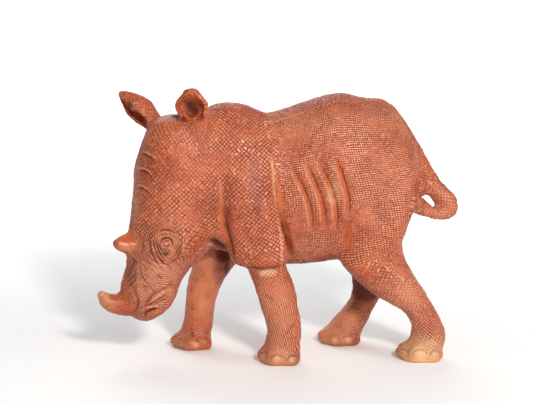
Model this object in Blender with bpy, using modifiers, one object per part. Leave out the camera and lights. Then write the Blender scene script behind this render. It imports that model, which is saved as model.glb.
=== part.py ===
"""Carved wooden rhinoceros figurine, walking with its head low, cut from one block.

The figure is one solid. It is drawn in millimetres at a nose horn to tail length of
250 mm, facing -X with its left side towards -Y, and every drawn number is a share of
that length. Lofts through hand-drawn sections give the trunk, head, shoulders and legs.
A voxel remesh joins them as one block of wood, a smoothing pass softens the joins, then
the horns, ears, tail and toes are added and the folds and ribs are cut.
"""

import math

import bmesh
import bpy
import numpy as np
from mathutils import Matrix, Vector

# Driving dimensions, in metres and degrees
FIGURE_LENGTH = 0.250
HEAD_TURN_DEG = 12.0
EAR_WALL = 0.0024
WOOD_COLOUR = (0.46, 0.135, 0.052, 1.0)
WOOD_ROUGHNESS = 0.55

# The drawing's own length, and metres for one of its millimetres
DRAWN_LENGTH = 250.0
UNIT = FIGURE_LENGTH / DRAWN_LENGTH

# Fineness, in drawn millimetres
BLOCK_VOXEL = 1.7
DETAIL_VOXEL = 1.15
SECTION_STEP = 2.0
RING_POINTS = 44
BLOCK_SMOOTHING = 12
CUFF_SMOOTHING = 4
DETAIL_SMOOTHING = 3
EAR_STEP = 0.04
TOE_SEGMENTS = 20
EYE_RING_POINTS = 24
WELD_GAP = 0.01
SAW_SNAP = 0.05

# Decimals kept of a surface's lean
LEAN_DIGITS = 5
FINISHED_TRIANGLES = 9600

# Where the head turns on the neck, in drawn millimetres
HEAD_PIVOT_X = -46.0

# The least share of an ear's half width that is hollow, however thick its wall
EAR_LEAST_HOLLOW = 0.4

# Carved strokes: step along them in rows, share that fades at each end, reach to each side in
# widths, and the sideways lean of the surface at which a stroke starts and over which it grows
STROKE_STEP = 0.08
FADE_SHARE = 0.12
STROKE_REACH = 3.0
LEAN_START = -0.1
LEAN_BAND = 0.5

# Trunk sections across X: x, top, underside, half width, height of the widest line, squareness
TRUNK = [
    (-66, 152, 100, 14, 126, 2.0),
    (-60, 164, 88, 23, 122, 2.0),
    (-48, 173, 78, 29, 118, 2.1),
    (-30, 175.8, 71, 33.5, 112, 2.2),
    (-19, 173, 67, 35.5, 110, 2.2),
    (-13, 169.8, 65.5, 35.5, 109, 2.2),
    (-6, 168.2, 64.5, 35.8, 109, 2.2),
    (2, 170.2, 64, 36.5, 108, 2.2),
    (15, 174.4, 63.8, 38, 108, 2.2),
    (30, 179.2, 65, 39, 110, 2.2),
    (43, 181.4, 67.5, 39.5, 113, 2.2),
    (60, 177.4, 76, 38.5, 118, 2.2),
    (75, 175.4, 88, 34, 124, 2.0),
    (82, 169, 93, 30, 126, 2.0),
    (89, 159, 98, 22, 127, 2.0),
    (96, 149, 108, 13, 128, 2.0),
]

# Head and neck sections across Z: z, face, nape, half width, x of the widest line, squareness
HEAD = [
    (27.3, -97.5, -93, 4, -95.5, 2.0),
    (29.3, -101, -89, 10.5, -95, 2.0),
    (32.5, -103.5, -83, 15, -92, 2.1),
    (37, -106, -77.5, 18, -90, 2.1),
    (43, -108.5, -73, 19, -88, 2.1),
    (49, -110.6, -70, 19, -88, 2.0),
    (56, -109.6, -67.3, 19.5, -87, 1.9),
    (64, -106.8, -60.5, 21, -84, 1.8),
    (71, -105.5, -52.5, 23.5, -79, 1.75),
    (80, -105, -44, 26, -75, 1.75),
    (90, -104.3, -36, 27, -71, 1.8),
    (104, -102, -30, 27, -67, 1.95),
    (118, -100.6, -26, 27, -64, 2.1),
    (132, -99.4, -26, 27, -63, 2.1),
    (145, -96, -28, 26, -62, 2.1),
    (157, -91.2, -32, 23.5, -62, 2.1),
    (164, -87, -38, 19, -62, 2.1),
    (168.3, -80, -45, 11, -62, 2.0),
]

# Leg and shoulder sections across Z: z, front, back, middle y outwards, half thickness, squareness.
# The feet run on below the ground, where they are sawn flat.
NEAR_FORE_LEG = [
    (-6, -13.2, 13, 25.5, 12.4, 2.5),
    (0, -13.7, 13, 25.5, 12.4, 2.5),
    (5, -13.7, 13, 25.5, 12.2, 2.5),
    (10, -13.2, 12.5, 25.5, 12, 2.4),
    (14, -11.4, 12.4, 25.5, 11.3, 2.3),
    (19, -10, 13.6, 25.5, 11.3, 2.2),
    (29, -11.6, 12.6, 25.5, 11.6, 2.2),
    (43, -16, 10.4, 25.5, 12.2, 2.2),
    (55, -19.4, 8, 25, 13, 2.2),
    (66, -23.5, 3, 24.5, 13.5, 2.2),
    (80, -25, 0, 23, 13, 2.2),
    (96, -25, -3, 20, 11, 2.2),
]
FAR_FORE_LEG = [
    (-6, -71.4, -43.3, 25.5, 12.4, 2.5),
    (0, -71.9, -43.3, 25.5, 12.4, 2.5),
    (3, -71.9, -43.8, 25.5, 12.2, 2.5),
    (6, -69.9, -44.8, 25.5, 11.9, 2.4),
    (10, -66.9, -43.8, 25.5, 11.6, 2.3),
    (15, -64.2, -43.1, 25.5, 11.2, 2.2),
    (25, -62.7, -42.1, 25.5, 11.4, 2.2),
    (39, -61.7, -38.8, 25.5, 12, 2.2),
    (53, -58.7, -31.8, 25, 13, 2.2),
    (64, -54.5, -24, 24, 13.5, 2.2),
    (78, -53, -18, 22, 13.5, 2.2),
    (95, -50, -14, 18, 12, 2.2),
]
NEAR_HIND_LEG = [
    (-6, 82.1, 110, 26.5, 12.4, 2.5),
    (0, 81.6, 110.3, 26.5, 12.4, 2.5),
    (4, 81.1, 110.5, 26.5, 12.2, 2.5),
    (9, 83.6, 111.5, 26.5, 11.9, 2.4),
    (14, 87.9, 113.7, 26.5, 11.5, 2.3),
    (20, 89.1, 112.9, 26.5, 11.3, 2.2),
    (27, 87.9, 109.9, 26.5, 11.6, 2.2),
    (34, 83.1, 106.3, 26.5, 12.2, 2.2),
    (41, 71, 102, 26.5, 13.2, 2.2),
    (48, 60, 98, 26, 14, 2.2),
    (59, 47.5, 90.8, 25, 15.3, 2.2),
    (69, 39.5, 85.2, 24, 16, 2.2),
    (80, 38.5, 82.5, 23, 16.5, 2.2),
    (92, 41, 86.5, 22, 17, 2.2),
    (106, 45, 91.5, 21, 17, 2.2),
    (125, 50, 93, 19, 16.5, 2.2),
    (143, 56, 91, 15.5, 14.5, 2.2),
    (156, 62, 86, 11, 11, 2),
]
FAR_HIND_LEG = [
    (-6, 33.3, 60.7, 26.5, 12.4, 2.5),
    (0, 32.8, 61, 26.5, 12.4, 2.5),
    (3, 32.6, 61.2, 26.5, 12.2, 2.5),
    (7, 33.8, 62, 26.5, 11.9, 2.4),
    (13, 38.8, 65.7, 26.5, 11.5, 2.3),
    (20, 44.9, 68.7, 26.5, 11.3, 2.2),
    (27, 51.4, 72.2, 26.5, 11.5, 2.2),
    (34, 55.2, 76.2, 26.5, 12.2, 2.2),
    (42, 55.9, 79.7, 26.5, 13.2, 2.2),
    (50, 54.4, 81.7, 26, 14, 2.2),
    (62, 51.6, 83, 25, 15.3, 2.2),
    (76, 50, 84, 23.5, 16.3, 2.2),
    (92, 48, 86.5, 22, 17, 2.2),
    (106, 49, 90, 21, 17, 2.2),
    (125, 52, 92, 19, 16.5, 2.2),
    (143, 57, 91, 15.5, 14.5, 2.2),
    (156, 62, 86, 11, 11, 2),
]
NEAR_SHOULDER = [
    (68.2, -30, 0, 25, 11.5, 2.6),
    (69.5, -33, 1.6, 25, 13.5, 2.8),
    (73, -35.5, 2.4, 25, 14.6, 2.8),
    (80, -37, 1.4, 24.5, 15, 2.6),
    (92, -39, -2, 23.5, 15.5, 2.4),
    (106, -42, -5, 22, 15.8, 2.3),
    (122, -44, -7, 20, 15.8, 2.2),
    (138, -45, -9, 17, 14.8, 2.2),
    (154, -43, -12, 11.5, 12.5, 2.1),
    (165, -38, -18, 6, 9, 2.0),
]
FAR_SHOULDER = [
    (60.2, -55, -26, 24.5, 11.5, 2.6),
    (62, -58, -23, 24.5, 13.5, 2.8),
    (68, -58.5, -19, 24.5, 14.6, 2.7),
    (80, -57.5, -13, 24, 15, 2.5),
    (92, -55, -9, 23.5, 15.5, 2.4),
    (106, -51, -7, 22, 15.8, 2.3),
    (122, -48, -8, 20, 15.8, 2.2),
    (138, -45, -9, 17, 14.8, 2.2),
    (154, -43, -12, 11.5, 12.5, 2.1),
    (165, -38, -18, 6, 9, 2.0),
]

# Centre lines through drawn points: x, y, z, radius
NOSE_HORN = [
    (-90, 0, 42, 12),
    (-98, 0, 41.7, 11.2),
    (-105, 0, 40.6, 9.6),
    (-111, 0, 40, 8.1),
    (-116.5, 0, 40.9, 6.9),
    (-121, 0, 43.9, 5.6),
    (-123.6, 0, 48, 4.3),
    (-125.2, 0, 51.8, 2.8),
]
BROW_HORN = [
    (-88, -1, 81.2, 12),
    (-97, -1, 81.4, 10.6),
    (-103, 0, 81.6, 8.6),
    (-109, 0, 82, 5.8),
    (-116.4, 0, 82.2, 3.0),
]
RUMP_RIDGE = [
    (80, 0, 146, 14),
    (90, 0, 131, 12.5),
    (97, 0, 119, 10.5),
    (101.5, -1, 110, 7),
]
TAIL = [
    (83, 0, 149, 7),
    (90, 0, 143.5, 8.2),
    (97, 0, 133.5, 6.8),
    (103.3, -1, 122.5, 6.4),
    (110, -2, 112.2, 6.8),
    (117.4, -3, 105, 7.9),
    (118.4, -4, 98.8, 6.8),
    (110.5, -6, 96.5, 4.5),
    (102.3, -9, 99.6, 4.5),
    (95.5, -13, 104.4, 6.4),
    (88.5, -16, 108.2, 7),
    (82, -18, 110, 5),
]

# An ear's sections from root to tip: share of its length, half width, half depth, hollowness
NEAR_EAR_SECTIONS = [
    (-0.35, 5, 5, 0),
    (0.0, 5.5, 5.5, 0.3),
    (0.15, 8.2, 7.6, 0.9),
    (0.35, 11, 8.6, 1.0),
    (0.52, 11.9, 8.2, 1.0),
    (0.66, 10.6, 6.8, 0.6),
    (0.8, 7.4, 5.2, 0.25),
    (0.93, 5.8, 4.0, 0.1),
    (1.0, 4.4, 3.0, 0),
]
FAR_EAR_SECTIONS = [
    (-0.3, 5, 6, 0),
    (0.0, 7, 8, 0.2),
    (0.2, 8.6, 9.8, 0.8),
    (0.38, 9.4, 11, 1.0),
    (0.56, 8.2, 9.6, 1.0),
    (0.76, 5.4, 6.6, 0.8),
    (0.93, 3, 3.6, 0.3),
    (1.0, 1.6, 2, 0.0),
]
# Half the angle of each ear's opening, then its root, its tip, the way it faces and that angle
NEAR_EAR_OPENING_DEG = 62
FAR_EAR_OPENING_DEG = 38
NEAR_EAR = ((-59.6, -17, 164), (-60.6, -23, 188.8), (-0.3, -1.0, -0.15), NEAR_EAR_OPENING_DEG)
FAR_EAR = ((-84.3, 14, 159.4), (-108, 17, 182.3), (-0.74, -0.32, -0.6), FAR_EAR_OPENING_DEG)

# Toes: x, y outwards, z, radii along X, Y and Z
TOES = {
    "near fore": [(-11.5, 24, 5, 6.6, 6, 6.4), (-5, 34, 5, 7.5, 6, 7), (5, 36, 4.4, 7, 5, 5.6),
                  (-6, 15, 5, 7, 5.5, 6.4)],
    "far fore": [(-67.5, 24, 4.6, 6.6, 6, 6.2), (-59.5, 13.5, 4.8, 7.5, 6.5, 6.6), (-50.5, 14, 4.2, 7, 5, 5.4),
                 (-60, 35, 4.8, 7.5, 5.5, 6.6)],
    "near hind": [(85, 25, 5.2, 7, 6, 6.6), (92, 35, 5.4, 7.5, 6, 7.4), (103, 37, 5, 7, 5, 6.6),
                  (92, 16, 5, 7.5, 5.5, 6.6)],
    "far hind": [(37, 26, 4.8, 7, 6, 6.2), (45, 15.5, 5, 7.5, 6.5, 6.8), (54, 15, 4.6, 7, 5, 6),
                 (45, 36, 5, 7.5, 5.5, 6.6)],
}

# Cuts and ridges on the near flank, the far one or both: width, height (below 0 cuts in),
# then drawn points x, z
FOLDS = [
    ("near", 2.2, 1.3, [(-44.6, 136), (-43.3, 122), (-43.4, 105), (-44.7, 93)]),
    ("near", 1.8, -2.6, [(-41.6, 136), (-40.4, 116), (-38.7, 102), (-36.7, 88), (-34, 72)]),
    ("far", 2.2, 1.3, [(-46, 134), (-45.5, 121), (-48, 104), (-53, 93)]),
    ("far", 1.8, -2.4, [(-43.5, 136), (-44, 115), (-47, 101), (-53, 87), (-60, 74)]),
    ("near", 1.9, 1.7, [(-8, 149), (-7.2, 129), (-5.7, 112), (-3.6, 98), (0, 84), (1.5, 74)]),
    ("near", 1.7, -2.2, [(-3.8, 134), (-1.9, 112), (0.5, 98), (4.2, 84), (6.5, 71)]),
    ("far", 2.0, 1.5, [(-8, 146), (-8, 128), (-8, 111), (-10, 95), (-16, 76)]),
    ("far", 1.8, -2.2, [(-4, 132), (-3.4, 111), (-5, 95), (-11, 78), (-17, 66)]),
]
RIBS = [
    ("both", 1.35, -1.9, [(6, 135), (12.5, 123), (17.3, 110), (19.5, 92)]),
    ("both", 1.35, -2.0, [(15, 139), (21.7, 124), (26.2, 110), (28.3, 93)]),
    ("both", 1.35, -2.0, [(23.5, 139), (31, 124), (35, 110), (35.8, 92)]),
    ("both", 1.35, -1.9, [(35, 142), (39.6, 129), (43.1, 116), (43.3, 101)]),
    ("both", 2.4, 0.9, [(10.5, 133), (17, 122), (21.3, 110), (23.4, 96)]),
    ("both", 2.4, 0.9, [(19.5, 137), (26.7, 122), (30.4, 109), (31.6, 96)]),
    ("both", 2.4, 0.9, [(29.5, 138), (35.4, 125), (39, 112), (39.3, 97)]),
    ("both", 2.4, 0.9, [(39.5, 140), (44, 129), (47.2, 116), (47.4, 102)]),
    ("both", 2.8, -1.2, [(50, 108), (45.8, 95), (43.2, 84), (42, 74)]),
]
HAUNCH = [
    ("both", 8.0, -1.0, [(54, 170), (63, 165), (70, 160)]),
    ("both", 5.0, 0.8, [(79, 172), (78, 160), (73, 148)]),
]
# The same on each cheek, drawn as the near one lies
FACE = [
    (1.4, -2.0, [(-97, 36), (-92.5, 39), (-87.5, 39.4), (-82, 38.6)]),
    (1.5, -1.3, [(-98, 41), (-92.5, 46), (-85.5, 49), (-78.5, 54)]),
    (1.3, -1.5, [(-100, 144.5), (-92, 143), (-86, 138)]),
    (1.3, -1.5, [(-101, 134.3), (-92, 132.2), (-88, 127)]),
    (1.3, -1.5, [(-102, 123), (-94, 121.3), (-90, 115)]),
    (2.4, 1.6, [(-79.5, 84.5)]),
]
# Rings around the eye: width, height, middle x and z, half length, half height
EYE_RINGS = [
    (1.3, -1.5, -79.5, 84.5, 4.6, 5.2),
    (1.5, 0.7, -79.5, 84, 7.2, 8.6),
    (1.5, -1.0, -79.5, 83.5, 9.6, 12.4),
]
FACE_HALF_WIDTH = 20.0


def metres(x, y, z):
    """A drawn point as a point in metres."""
    return Vector((x, y, z)) * UNIT


def eased_rows(rows, step):
    """Rows read at even steps of the first column from a smooth curve through the given rows."""
    rows = np.array(rows, float)
    at = rows[:, 0]
    slopes = np.gradient(rows, at, axis=0)
    count = max(2, math.ceil((at[-1] - at[0]) / step) + 1)
    eased = []
    for x in np.linspace(at[0], at[-1], count):
        i = min(np.searchsorted(at, x, side="right") - 1, len(at) - 2)
        gap = at[i + 1] - at[i]
        t = (x - at[i]) / gap
        start = (2 * t**3 - 3 * t**2 + 1) * rows[i] + (t**3 - 2 * t**2 + t) * gap * slopes[i]
        end = (3 * t**2 - 2 * t**3) * rows[i + 1] + (t**3 - t**2) * gap * slopes[i + 1]
        eased.append(start + end)
    return eased


def egg_ring(centre, reach_axis, wide_axis, ahead, behind, half_width, squareness):
    """Points of an egg-shaped section, `ahead` and `behind` being its reach along reach_axis."""
    ring = []
    for i in range(RING_POINTS):
        angle = math.tau * i / RING_POINTS
        c, s = math.cos(angle), math.sin(angle)
        along = math.copysign(abs(c) ** (2 / squareness), c)
        across = math.copysign(abs(s) ** (2 / squareness), s)
        reach = ahead if c > 0 else behind
        ring.append(centre + reach_axis * (reach * along) + wide_axis * (half_width * across))
    return ring


def loft(rings):
    """A closed mesh through rings of equally many points, capped at both ends, facing out."""
    mesh = bpy.data.meshes.new("loft")
    shape = bmesh.new()
    loops = [[shape.verts.new(point) for point in ring] for ring in rings]
    for lower, upper in zip(loops, loops[1:]):
        for i in range(len(lower)):
            j = (i + 1) % len(lower)
            shape.faces.new((lower[i], lower[j], upper[j], upper[i]))
    shape.faces.new(list(reversed(loops[0])))
    shape.faces.new(loops[-1])
    bmesh.ops.recalc_face_normals(shape, faces=shape.faces)
    shape.to_mesh(mesh)
    shape.free()
    return mesh


def trunk_mesh():
    """Chest, barrel and rump, lofted along X."""
    rings = []
    for x, top, low, half, widest, square in eased_rows(TRUNK, SECTION_STEP):
        ring = egg_ring(
            metres(x, 0, widest), Vector((0, 0, UNIT)), Vector((0, UNIT, 0)),
            top - widest, widest - low, half, square,
        )
        rings.append(ring)
    return loft(rings)


def head_mesh():
    """Neck and head, lofted upwards."""
    rings = []
    for z, face, nape, half, widest, square in eased_rows(HEAD, SECTION_STEP):
        ring = egg_ring(
            metres(widest, 0, z), Vector((-UNIT, 0, 0)), Vector((0, UNIT, 0)),
            widest - face, nape - widest, half, square,
        )
        rings.append(ring)
    return loft(rings)


def limb_mesh(rows, side):
    """A leg or shoulder, lofted upwards; side is -1 for the near flank and 1 for the far one."""
    rings = []
    for z, front, back, middle, half, square in eased_rows(rows, SECTION_STEP):
        half_length = (back - front) / 2
        ring = egg_ring(
            metres(front + half_length, side * middle, z), Vector((-UNIT, 0, 0)),
            Vector((0, UNIT, 0)), half_length, half_length, half, square,
        )
        rings.append(ring)
    return loft(rings)


def tapered_tube(points, name):
    """A round bar along drawn points with a radius at each, as a mesh with closed ends."""
    curve = bpy.data.curves.new(name, "CURVE")
    curve.dimensions = "3D"
    curve.resolution_u = 8
    curve.bevel_depth = UNIT
    curve.bevel_resolution = 6
    curve.use_fill_caps = True
    spline = curve.splines.new("NURBS")
    spline.points.add(len(points) - 1)
    for target, (x, y, z, radius) in zip(spline.points, points):
        target.co = (*metres(x, y, z), 1.0)
        target.radius = radius
    spline.order_u = 3
    spline.use_endpoint_u = True
    guide = bpy.data.objects.new(name, curve)
    bpy.context.scene.collection.objects.link(guide)
    bpy.context.view_layer.update()
    mesh = evaluated_mesh(guide)
    bpy.data.objects.remove(guide)
    shape = bmesh.new()
    shape.from_mesh(mesh)
    bmesh.ops.remove_doubles(shape, verts=shape.verts, dist=WELD_GAP * UNIT)
    bmesh.ops.recalc_face_normals(shape, faces=shape.faces)
    shape.to_mesh(mesh)
    shape.free()
    return mesh


def ear_mesh(sections, placing):
    """A leaf-shaped ear hollowed from the front, lofted from root to tip."""
    root, tip, facing, opening_deg = placing
    root, tip = metres(*root), metres(*tip)
    length = (tip - root).length
    axis = (tip - root).normalized()
    front = Vector(facing)
    front = (front - axis * front.dot(axis)).normalized()
    side = axis.cross(front)
    wall = EAR_WALL / UNIT
    half_gap = math.radians(opening_deg)
    half_count = RING_POINTS // 2
    angles = [half_gap + (math.tau - 2 * half_gap) * i / (half_count - 1) for i in range(half_count)]
    rings = []
    for share, half_width, half_depth, hollow in eased_rows(sections, EAR_STEP):
        lip = half_depth * math.cos(half_gap)
        outer = [(half_width * math.sin(a), half_depth * math.cos(a)) for a in angles]
        inner = []
        for a in reversed(angles):
            across = max(half_width - wall, EAR_LEAST_HOLLOW * half_width) * math.sin(a)
            deep = max(half_depth - wall, EAR_LEAST_HOLLOW * half_depth) * math.cos(a)
            inner.append((across, lip + (min(deep, lip) - lip) * hollow))
        centre = root + axis * (length * share)
        rings.append([centre + (side * a + front * d) * UNIT for a, d in outer + inner])
    return loft(rings)


def toe_meshes():
    """Round toes set in the front and outer side of each foot."""
    toes = []
    for foot, places in TOES.items():
        side = -1 if foot.startswith("near") else 1
        for x, y, z, long, wide, high in places:
            shape = bmesh.new()
            bmesh.ops.create_uvsphere(
                shape, u_segments=TOE_SEGMENTS, v_segments=TOE_SEGMENTS // 2, radius=UNIT
            )
            bmesh.ops.scale(shape, vec=(long, wide, high), verts=shape.verts)
            bmesh.ops.translate(shape, vec=metres(x, side * y, z), verts=shape.verts)
            mesh = bpy.data.meshes.new("toe")
            shape.to_mesh(mesh)
            shape.free()
            toes.append(mesh)
    return toes


def eased_line(points):
    """Close points along a smooth curve through the given ones."""
    if len(points) == 1:
        return np.array(points, float)
    rows = [(i, *point) for i, point in enumerate(points)]
    return np.array(eased_rows(rows, STROKE_STEP))[:, 1:]


def carve(mesh, strokes):
    """Raises or cuts the flanks along drawn strokes, each fading out at its ends."""
    spots = places(mesh)
    normals = np.array([vertex.normal for vertex in mesh.vertices]).round(LEAN_DIGITS)
    moved = spots.copy()
    for flank, width, height, points in strokes:
        line = eased_line(points)
        sides = {"near": (-1,), "far": (1,), "both": (-1, 1)}[flank]
        reach = STROKE_REACH * width
        for side in sides:
            facing = np.clip((side * normals[:, 1] - LEAN_START) / LEAN_BAND, 0, 1)
            near = (side * spots[:, 1] > 0) & (facing > 0)
            for axis, column in ((0, 0), (2, 1)):
                drawn = spots[:, axis] / UNIT
                near &= (drawn > line[:, column].min() - reach) & (drawn < line[:, column].max() + reach)
            picked = np.nonzero(near)[0]
            flat = spots[picked][:, [0, 2]] / UNIT
            gaps = np.linalg.norm(flat[:, None] - line[None], axis=2)
            nearest = gaps.argmin(axis=1)
            share = nearest / max(len(line) - 1, 1)
            closed = len(line) == 1 or np.allclose(line[0], line[-1])
            fade = np.ones(len(picked)) if closed else np.clip(
                np.minimum(share, 1 - share) / FADE_SHARE, 0, 1)
            lift = height * UNIT * np.exp(-((gaps.min(axis=1) / width) ** 2)) * fade * facing[picked]
            moved[picked] += normals[picked] * lift[:, None]
    mesh.vertices.foreach_set("co", moved.ravel())
    mesh.update()


def ring_points(x, z, half_long, half_high):
    """Points around an ellipse, the last one on the first."""
    turns = np.linspace(0, math.tau, EYE_RING_POINTS + 1)
    return [(x + half_long * math.cos(turn), z + half_high * math.sin(turn)) for turn in turns]


def face_strokes():
    """The face's strokes on both cheeks; the far ones lie further forward on the turned head."""
    shift = 2 * FACE_HALF_WIDTH * math.sin(math.radians(HEAD_TURN_DEG))
    rings = [(width, height, ring_points(*ring)) for width, height, *ring in EYE_RINGS]
    strokes = []
    for width, height, points in FACE + rings:
        strokes.append(("near", width, height, points))
        strokes.append(("far", width, height, [(x - shift, z) for x, z in points]))
    return strokes


def evaluated_mesh(obj):
    """A copy of the object's mesh with its modifiers applied."""
    graph = bpy.context.evaluated_depsgraph_get()
    return bpy.data.meshes.new_from_object(obj.evaluated_get(graph))


def joined(meshes):
    """One mesh that holds several closed ones."""
    shape = bmesh.new()
    for mesh in meshes:
        shape.from_mesh(mesh)
    together = bpy.data.meshes.new("joined")
    shape.to_mesh(together)
    shape.free()
    return together


def places(mesh):
    """The mesh's points as rows of x, y and z."""
    flat = np.empty(len(mesh.vertices) * 3)
    mesh.vertices.foreach_get("co", flat)
    return flat.reshape(-1, 3)


def softened(mesh, times):
    """The mesh with each point drawn a quarter of the way to its neighbours' mean, some times over."""
    points = places(mesh)
    ends = np.empty(len(mesh.edges) * 2, np.int32)
    mesh.edges.foreach_get("vertices", ends)
    ends = ends.reshape(-1, 2)
    neighbours = np.bincount(ends.ravel())
    for _ in range(times):
        middles = points[ends].mean(axis=1).repeat(2, axis=0)
        sums = [np.bincount(ends.ravel(), weights=column) for column in middles.T]
        points = (points + np.transpose(sums) / neighbours[:, None]) / 2
    mesh.vertices.foreach_set("co", points.ravel())
    mesh.update()
    return mesh


def fused(meshes, voxel, smoothing):
    """Overlapping closed meshes made one skin by a voxel remesh, then softened."""
    block = bpy.data.objects.new("block", joined(meshes))
    bpy.context.scene.collection.objects.link(block)
    remesh = block.modifiers.new("one skin", "REMESH")
    remesh.mode = "VOXEL"
    remesh.voxel_size = voxel * UNIT
    bpy.context.view_layer.update()
    mesh = evaluated_mesh(block)
    bpy.data.objects.remove(block)
    return softened(mesh, smoothing)


def turned_head(mesh):
    """The mesh turned about the neck's upright axis, towards the near side."""
    pivot = Matrix.Translation(metres(HEAD_PIVOT_X, 0, 0))
    turn = Matrix.Rotation(math.radians(HEAD_TURN_DEG), 4, "Z")
    mesh.transform(pivot @ turn @ pivot.inverted())
    return mesh


def sawn_flat(mesh):
    """The mesh cut off level at the ground, with flat soles."""
    shape = bmesh.new()
    shape.from_mesh(mesh)
    everything = list(shape.verts) + list(shape.edges) + list(shape.faces)
    cut = bmesh.ops.bisect_plane(
        shape, geom=everything, dist=SAW_SNAP * UNIT,
        plane_co=(0, 0, 0), plane_no=(0, 0, 1), clear_inner=True,
    )
    rim = [item for item in cut["geom_cut"] if isinstance(item, bmesh.types.BMEdge)]
    bmesh.ops.holes_fill(shape, edges=rim)
    bmesh.ops.triangulate(shape, faces=shape.faces)
    shape.to_mesh(mesh)
    shape.free()
    return mesh


def centred(mesh):
    """The mesh moved so that the middle of its length and width stands over the origin."""
    points = places(mesh)
    middle = (points.min(axis=0) + points.max(axis=0)) / 2
    mesh.transform(Matrix.Translation((-middle[0], -middle[1], 0)))
    return mesh


def wood():
    """Oiled reddish hardwood."""
    material = bpy.data.materials.new("red hardwood")
    material.use_nodes = True
    shader = material.node_tree.nodes["Principled BSDF"]
    shader.inputs["Base Color"].default_value = WOOD_COLOUR
    shader.inputs["Roughness"].default_value = WOOD_ROUGHNESS
    shader.inputs["Metallic"].default_value = 0.0
    return material


def main():
    """Builds the figurine as one object."""
    for obj in list(bpy.data.objects):
        bpy.data.objects.remove(obj)
    collection = bpy.data.collections.new("rhinoceros figurine")
    bpy.context.scene.collection.children.link(collection)

    block = fused(
        [
            trunk_mesh(),
            turned_head(head_mesh()),
            limb_mesh(NEAR_HIND_LEG, -1),
            limb_mesh(FAR_HIND_LEG, 1),
        ],
        BLOCK_VOXEL,
        BLOCK_SMOOTHING,
    )
    body = fused(
        [
            block,
            limb_mesh(NEAR_SHOULDER, -1),
            limb_mesh(FAR_SHOULDER, 1),
            limb_mesh(NEAR_FORE_LEG, -1),
            limb_mesh(FAR_FORE_LEG, 1),
        ],
        BLOCK_VOXEL,
        CUFF_SMOOTHING,
    )
    figure = fused(
        [
            body,
            turned_head(tapered_tube(NOSE_HORN, "nose horn")),
            turned_head(tapered_tube(BROW_HORN, "brow horn")),
            tapered_tube(RUMP_RIDGE, "rump ridge"),
            tapered_tube(TAIL, "tail"),
            ear_mesh(NEAR_EAR_SECTIONS, NEAR_EAR),
            ear_mesh(FAR_EAR_SECTIONS, FAR_EAR),
            *toe_meshes(),
        ],
        DETAIL_VOXEL,
        DETAIL_SMOOTHING,
    )
    carve(figure, FOLDS + RIBS + HAUNCH + face_strokes())
    rhinoceros = bpy.data.objects.new("rhinoceros", figure)
    collection.objects.link(rhinoceros)
    rhinoceros.data.materials.append(wood())
    thin = rhinoceros.modifiers.new("fewer faces", "DECIMATE")
    thin.ratio = FINISHED_TRIANGLES / (2 * len(figure.polygons))
    bpy.context.view_layer.update()
    mesh = evaluated_mesh(rhinoceros)
    rhinoceros.modifiers.clear()
    rhinoceros.data = centred(sawn_flat(mesh))
    rhinoceros.data.shade_smooth()


main()
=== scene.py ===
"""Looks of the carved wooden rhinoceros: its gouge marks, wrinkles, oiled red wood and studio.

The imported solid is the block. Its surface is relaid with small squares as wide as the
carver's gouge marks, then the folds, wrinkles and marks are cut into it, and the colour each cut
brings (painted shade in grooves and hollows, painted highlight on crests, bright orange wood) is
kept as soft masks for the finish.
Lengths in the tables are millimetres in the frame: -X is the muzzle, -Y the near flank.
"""

from __future__ import annotations

import logging
import math
from collections.abc import Sequence
from dataclasses import dataclass, field
from enum import Enum
from functools import partial

import bmesh
import bpy
import numpy as np
from mathutils import Matrix, Vector, noise
from mathutils.bvhtree import BVHTree

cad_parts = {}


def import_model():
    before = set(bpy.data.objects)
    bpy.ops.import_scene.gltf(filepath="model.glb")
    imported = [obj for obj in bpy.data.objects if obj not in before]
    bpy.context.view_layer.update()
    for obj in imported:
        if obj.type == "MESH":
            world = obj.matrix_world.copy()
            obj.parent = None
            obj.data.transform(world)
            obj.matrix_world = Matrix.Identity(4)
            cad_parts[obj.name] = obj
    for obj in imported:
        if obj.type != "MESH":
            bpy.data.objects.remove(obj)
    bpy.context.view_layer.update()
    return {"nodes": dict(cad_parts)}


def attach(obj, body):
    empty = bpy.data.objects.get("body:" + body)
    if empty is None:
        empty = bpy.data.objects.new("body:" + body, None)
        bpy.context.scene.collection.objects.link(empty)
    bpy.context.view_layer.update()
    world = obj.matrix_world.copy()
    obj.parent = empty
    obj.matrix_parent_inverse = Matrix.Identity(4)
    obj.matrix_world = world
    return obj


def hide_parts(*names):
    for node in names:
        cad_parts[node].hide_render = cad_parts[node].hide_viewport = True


log = logging.getLogger("rhinoceros")

# Two numbers from and to, and three for a place or a size in x, y and z
Span = tuple[float, float]
Place = tuple[float, float, float]

MM = 0.001
NODE = "rhinoceros"

# How far one seed moves the noise, in its own units
SEED_SHIFT = (17.3, 5.1, 9.7)

# The head is turned about an upright line in the neck, and its far side lies further forward
HEAD_TURN_DEG = 12.0
HEAD_PIVOT_X = -46.0
CHEEK_SHIFT = 8.3


class Flank(Enum):
    """A side of the figure, as the sign of its Y."""

    NEAR = -1
    FAR = 1


BOTH = (Flank.NEAR, Flank.FAR)


class Tint(Enum):
    """What a cut or a patch lays on the wood, as the name of its mesh attribute.

    Shade and the deepest dark are painted shade, grey is in places painted shade, crest is painted
    highlight, and glow and pale are bright orange and pale wood that in places paint light.
    """

    SHADE = "shade"
    GLOW = "glow"
    CREST = "crest"
    GREY = "grey"
    PALE = "pale"
    # Painted deep shade: hollows, slits, cast shadows under the body and the darkest cut lines
    DEEP_SHADE = "deep_shade"


# Mesh attributes: how near a point is to a gouge line, its height, how strong the marks are, and for
# the finest lines, which only the finish draws, the distance across them and their strength
GROOVE = "groove"
HEIGHT = "height"
MARKS = "marks"
LINES = "lines"
LINED = "lined"


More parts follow.
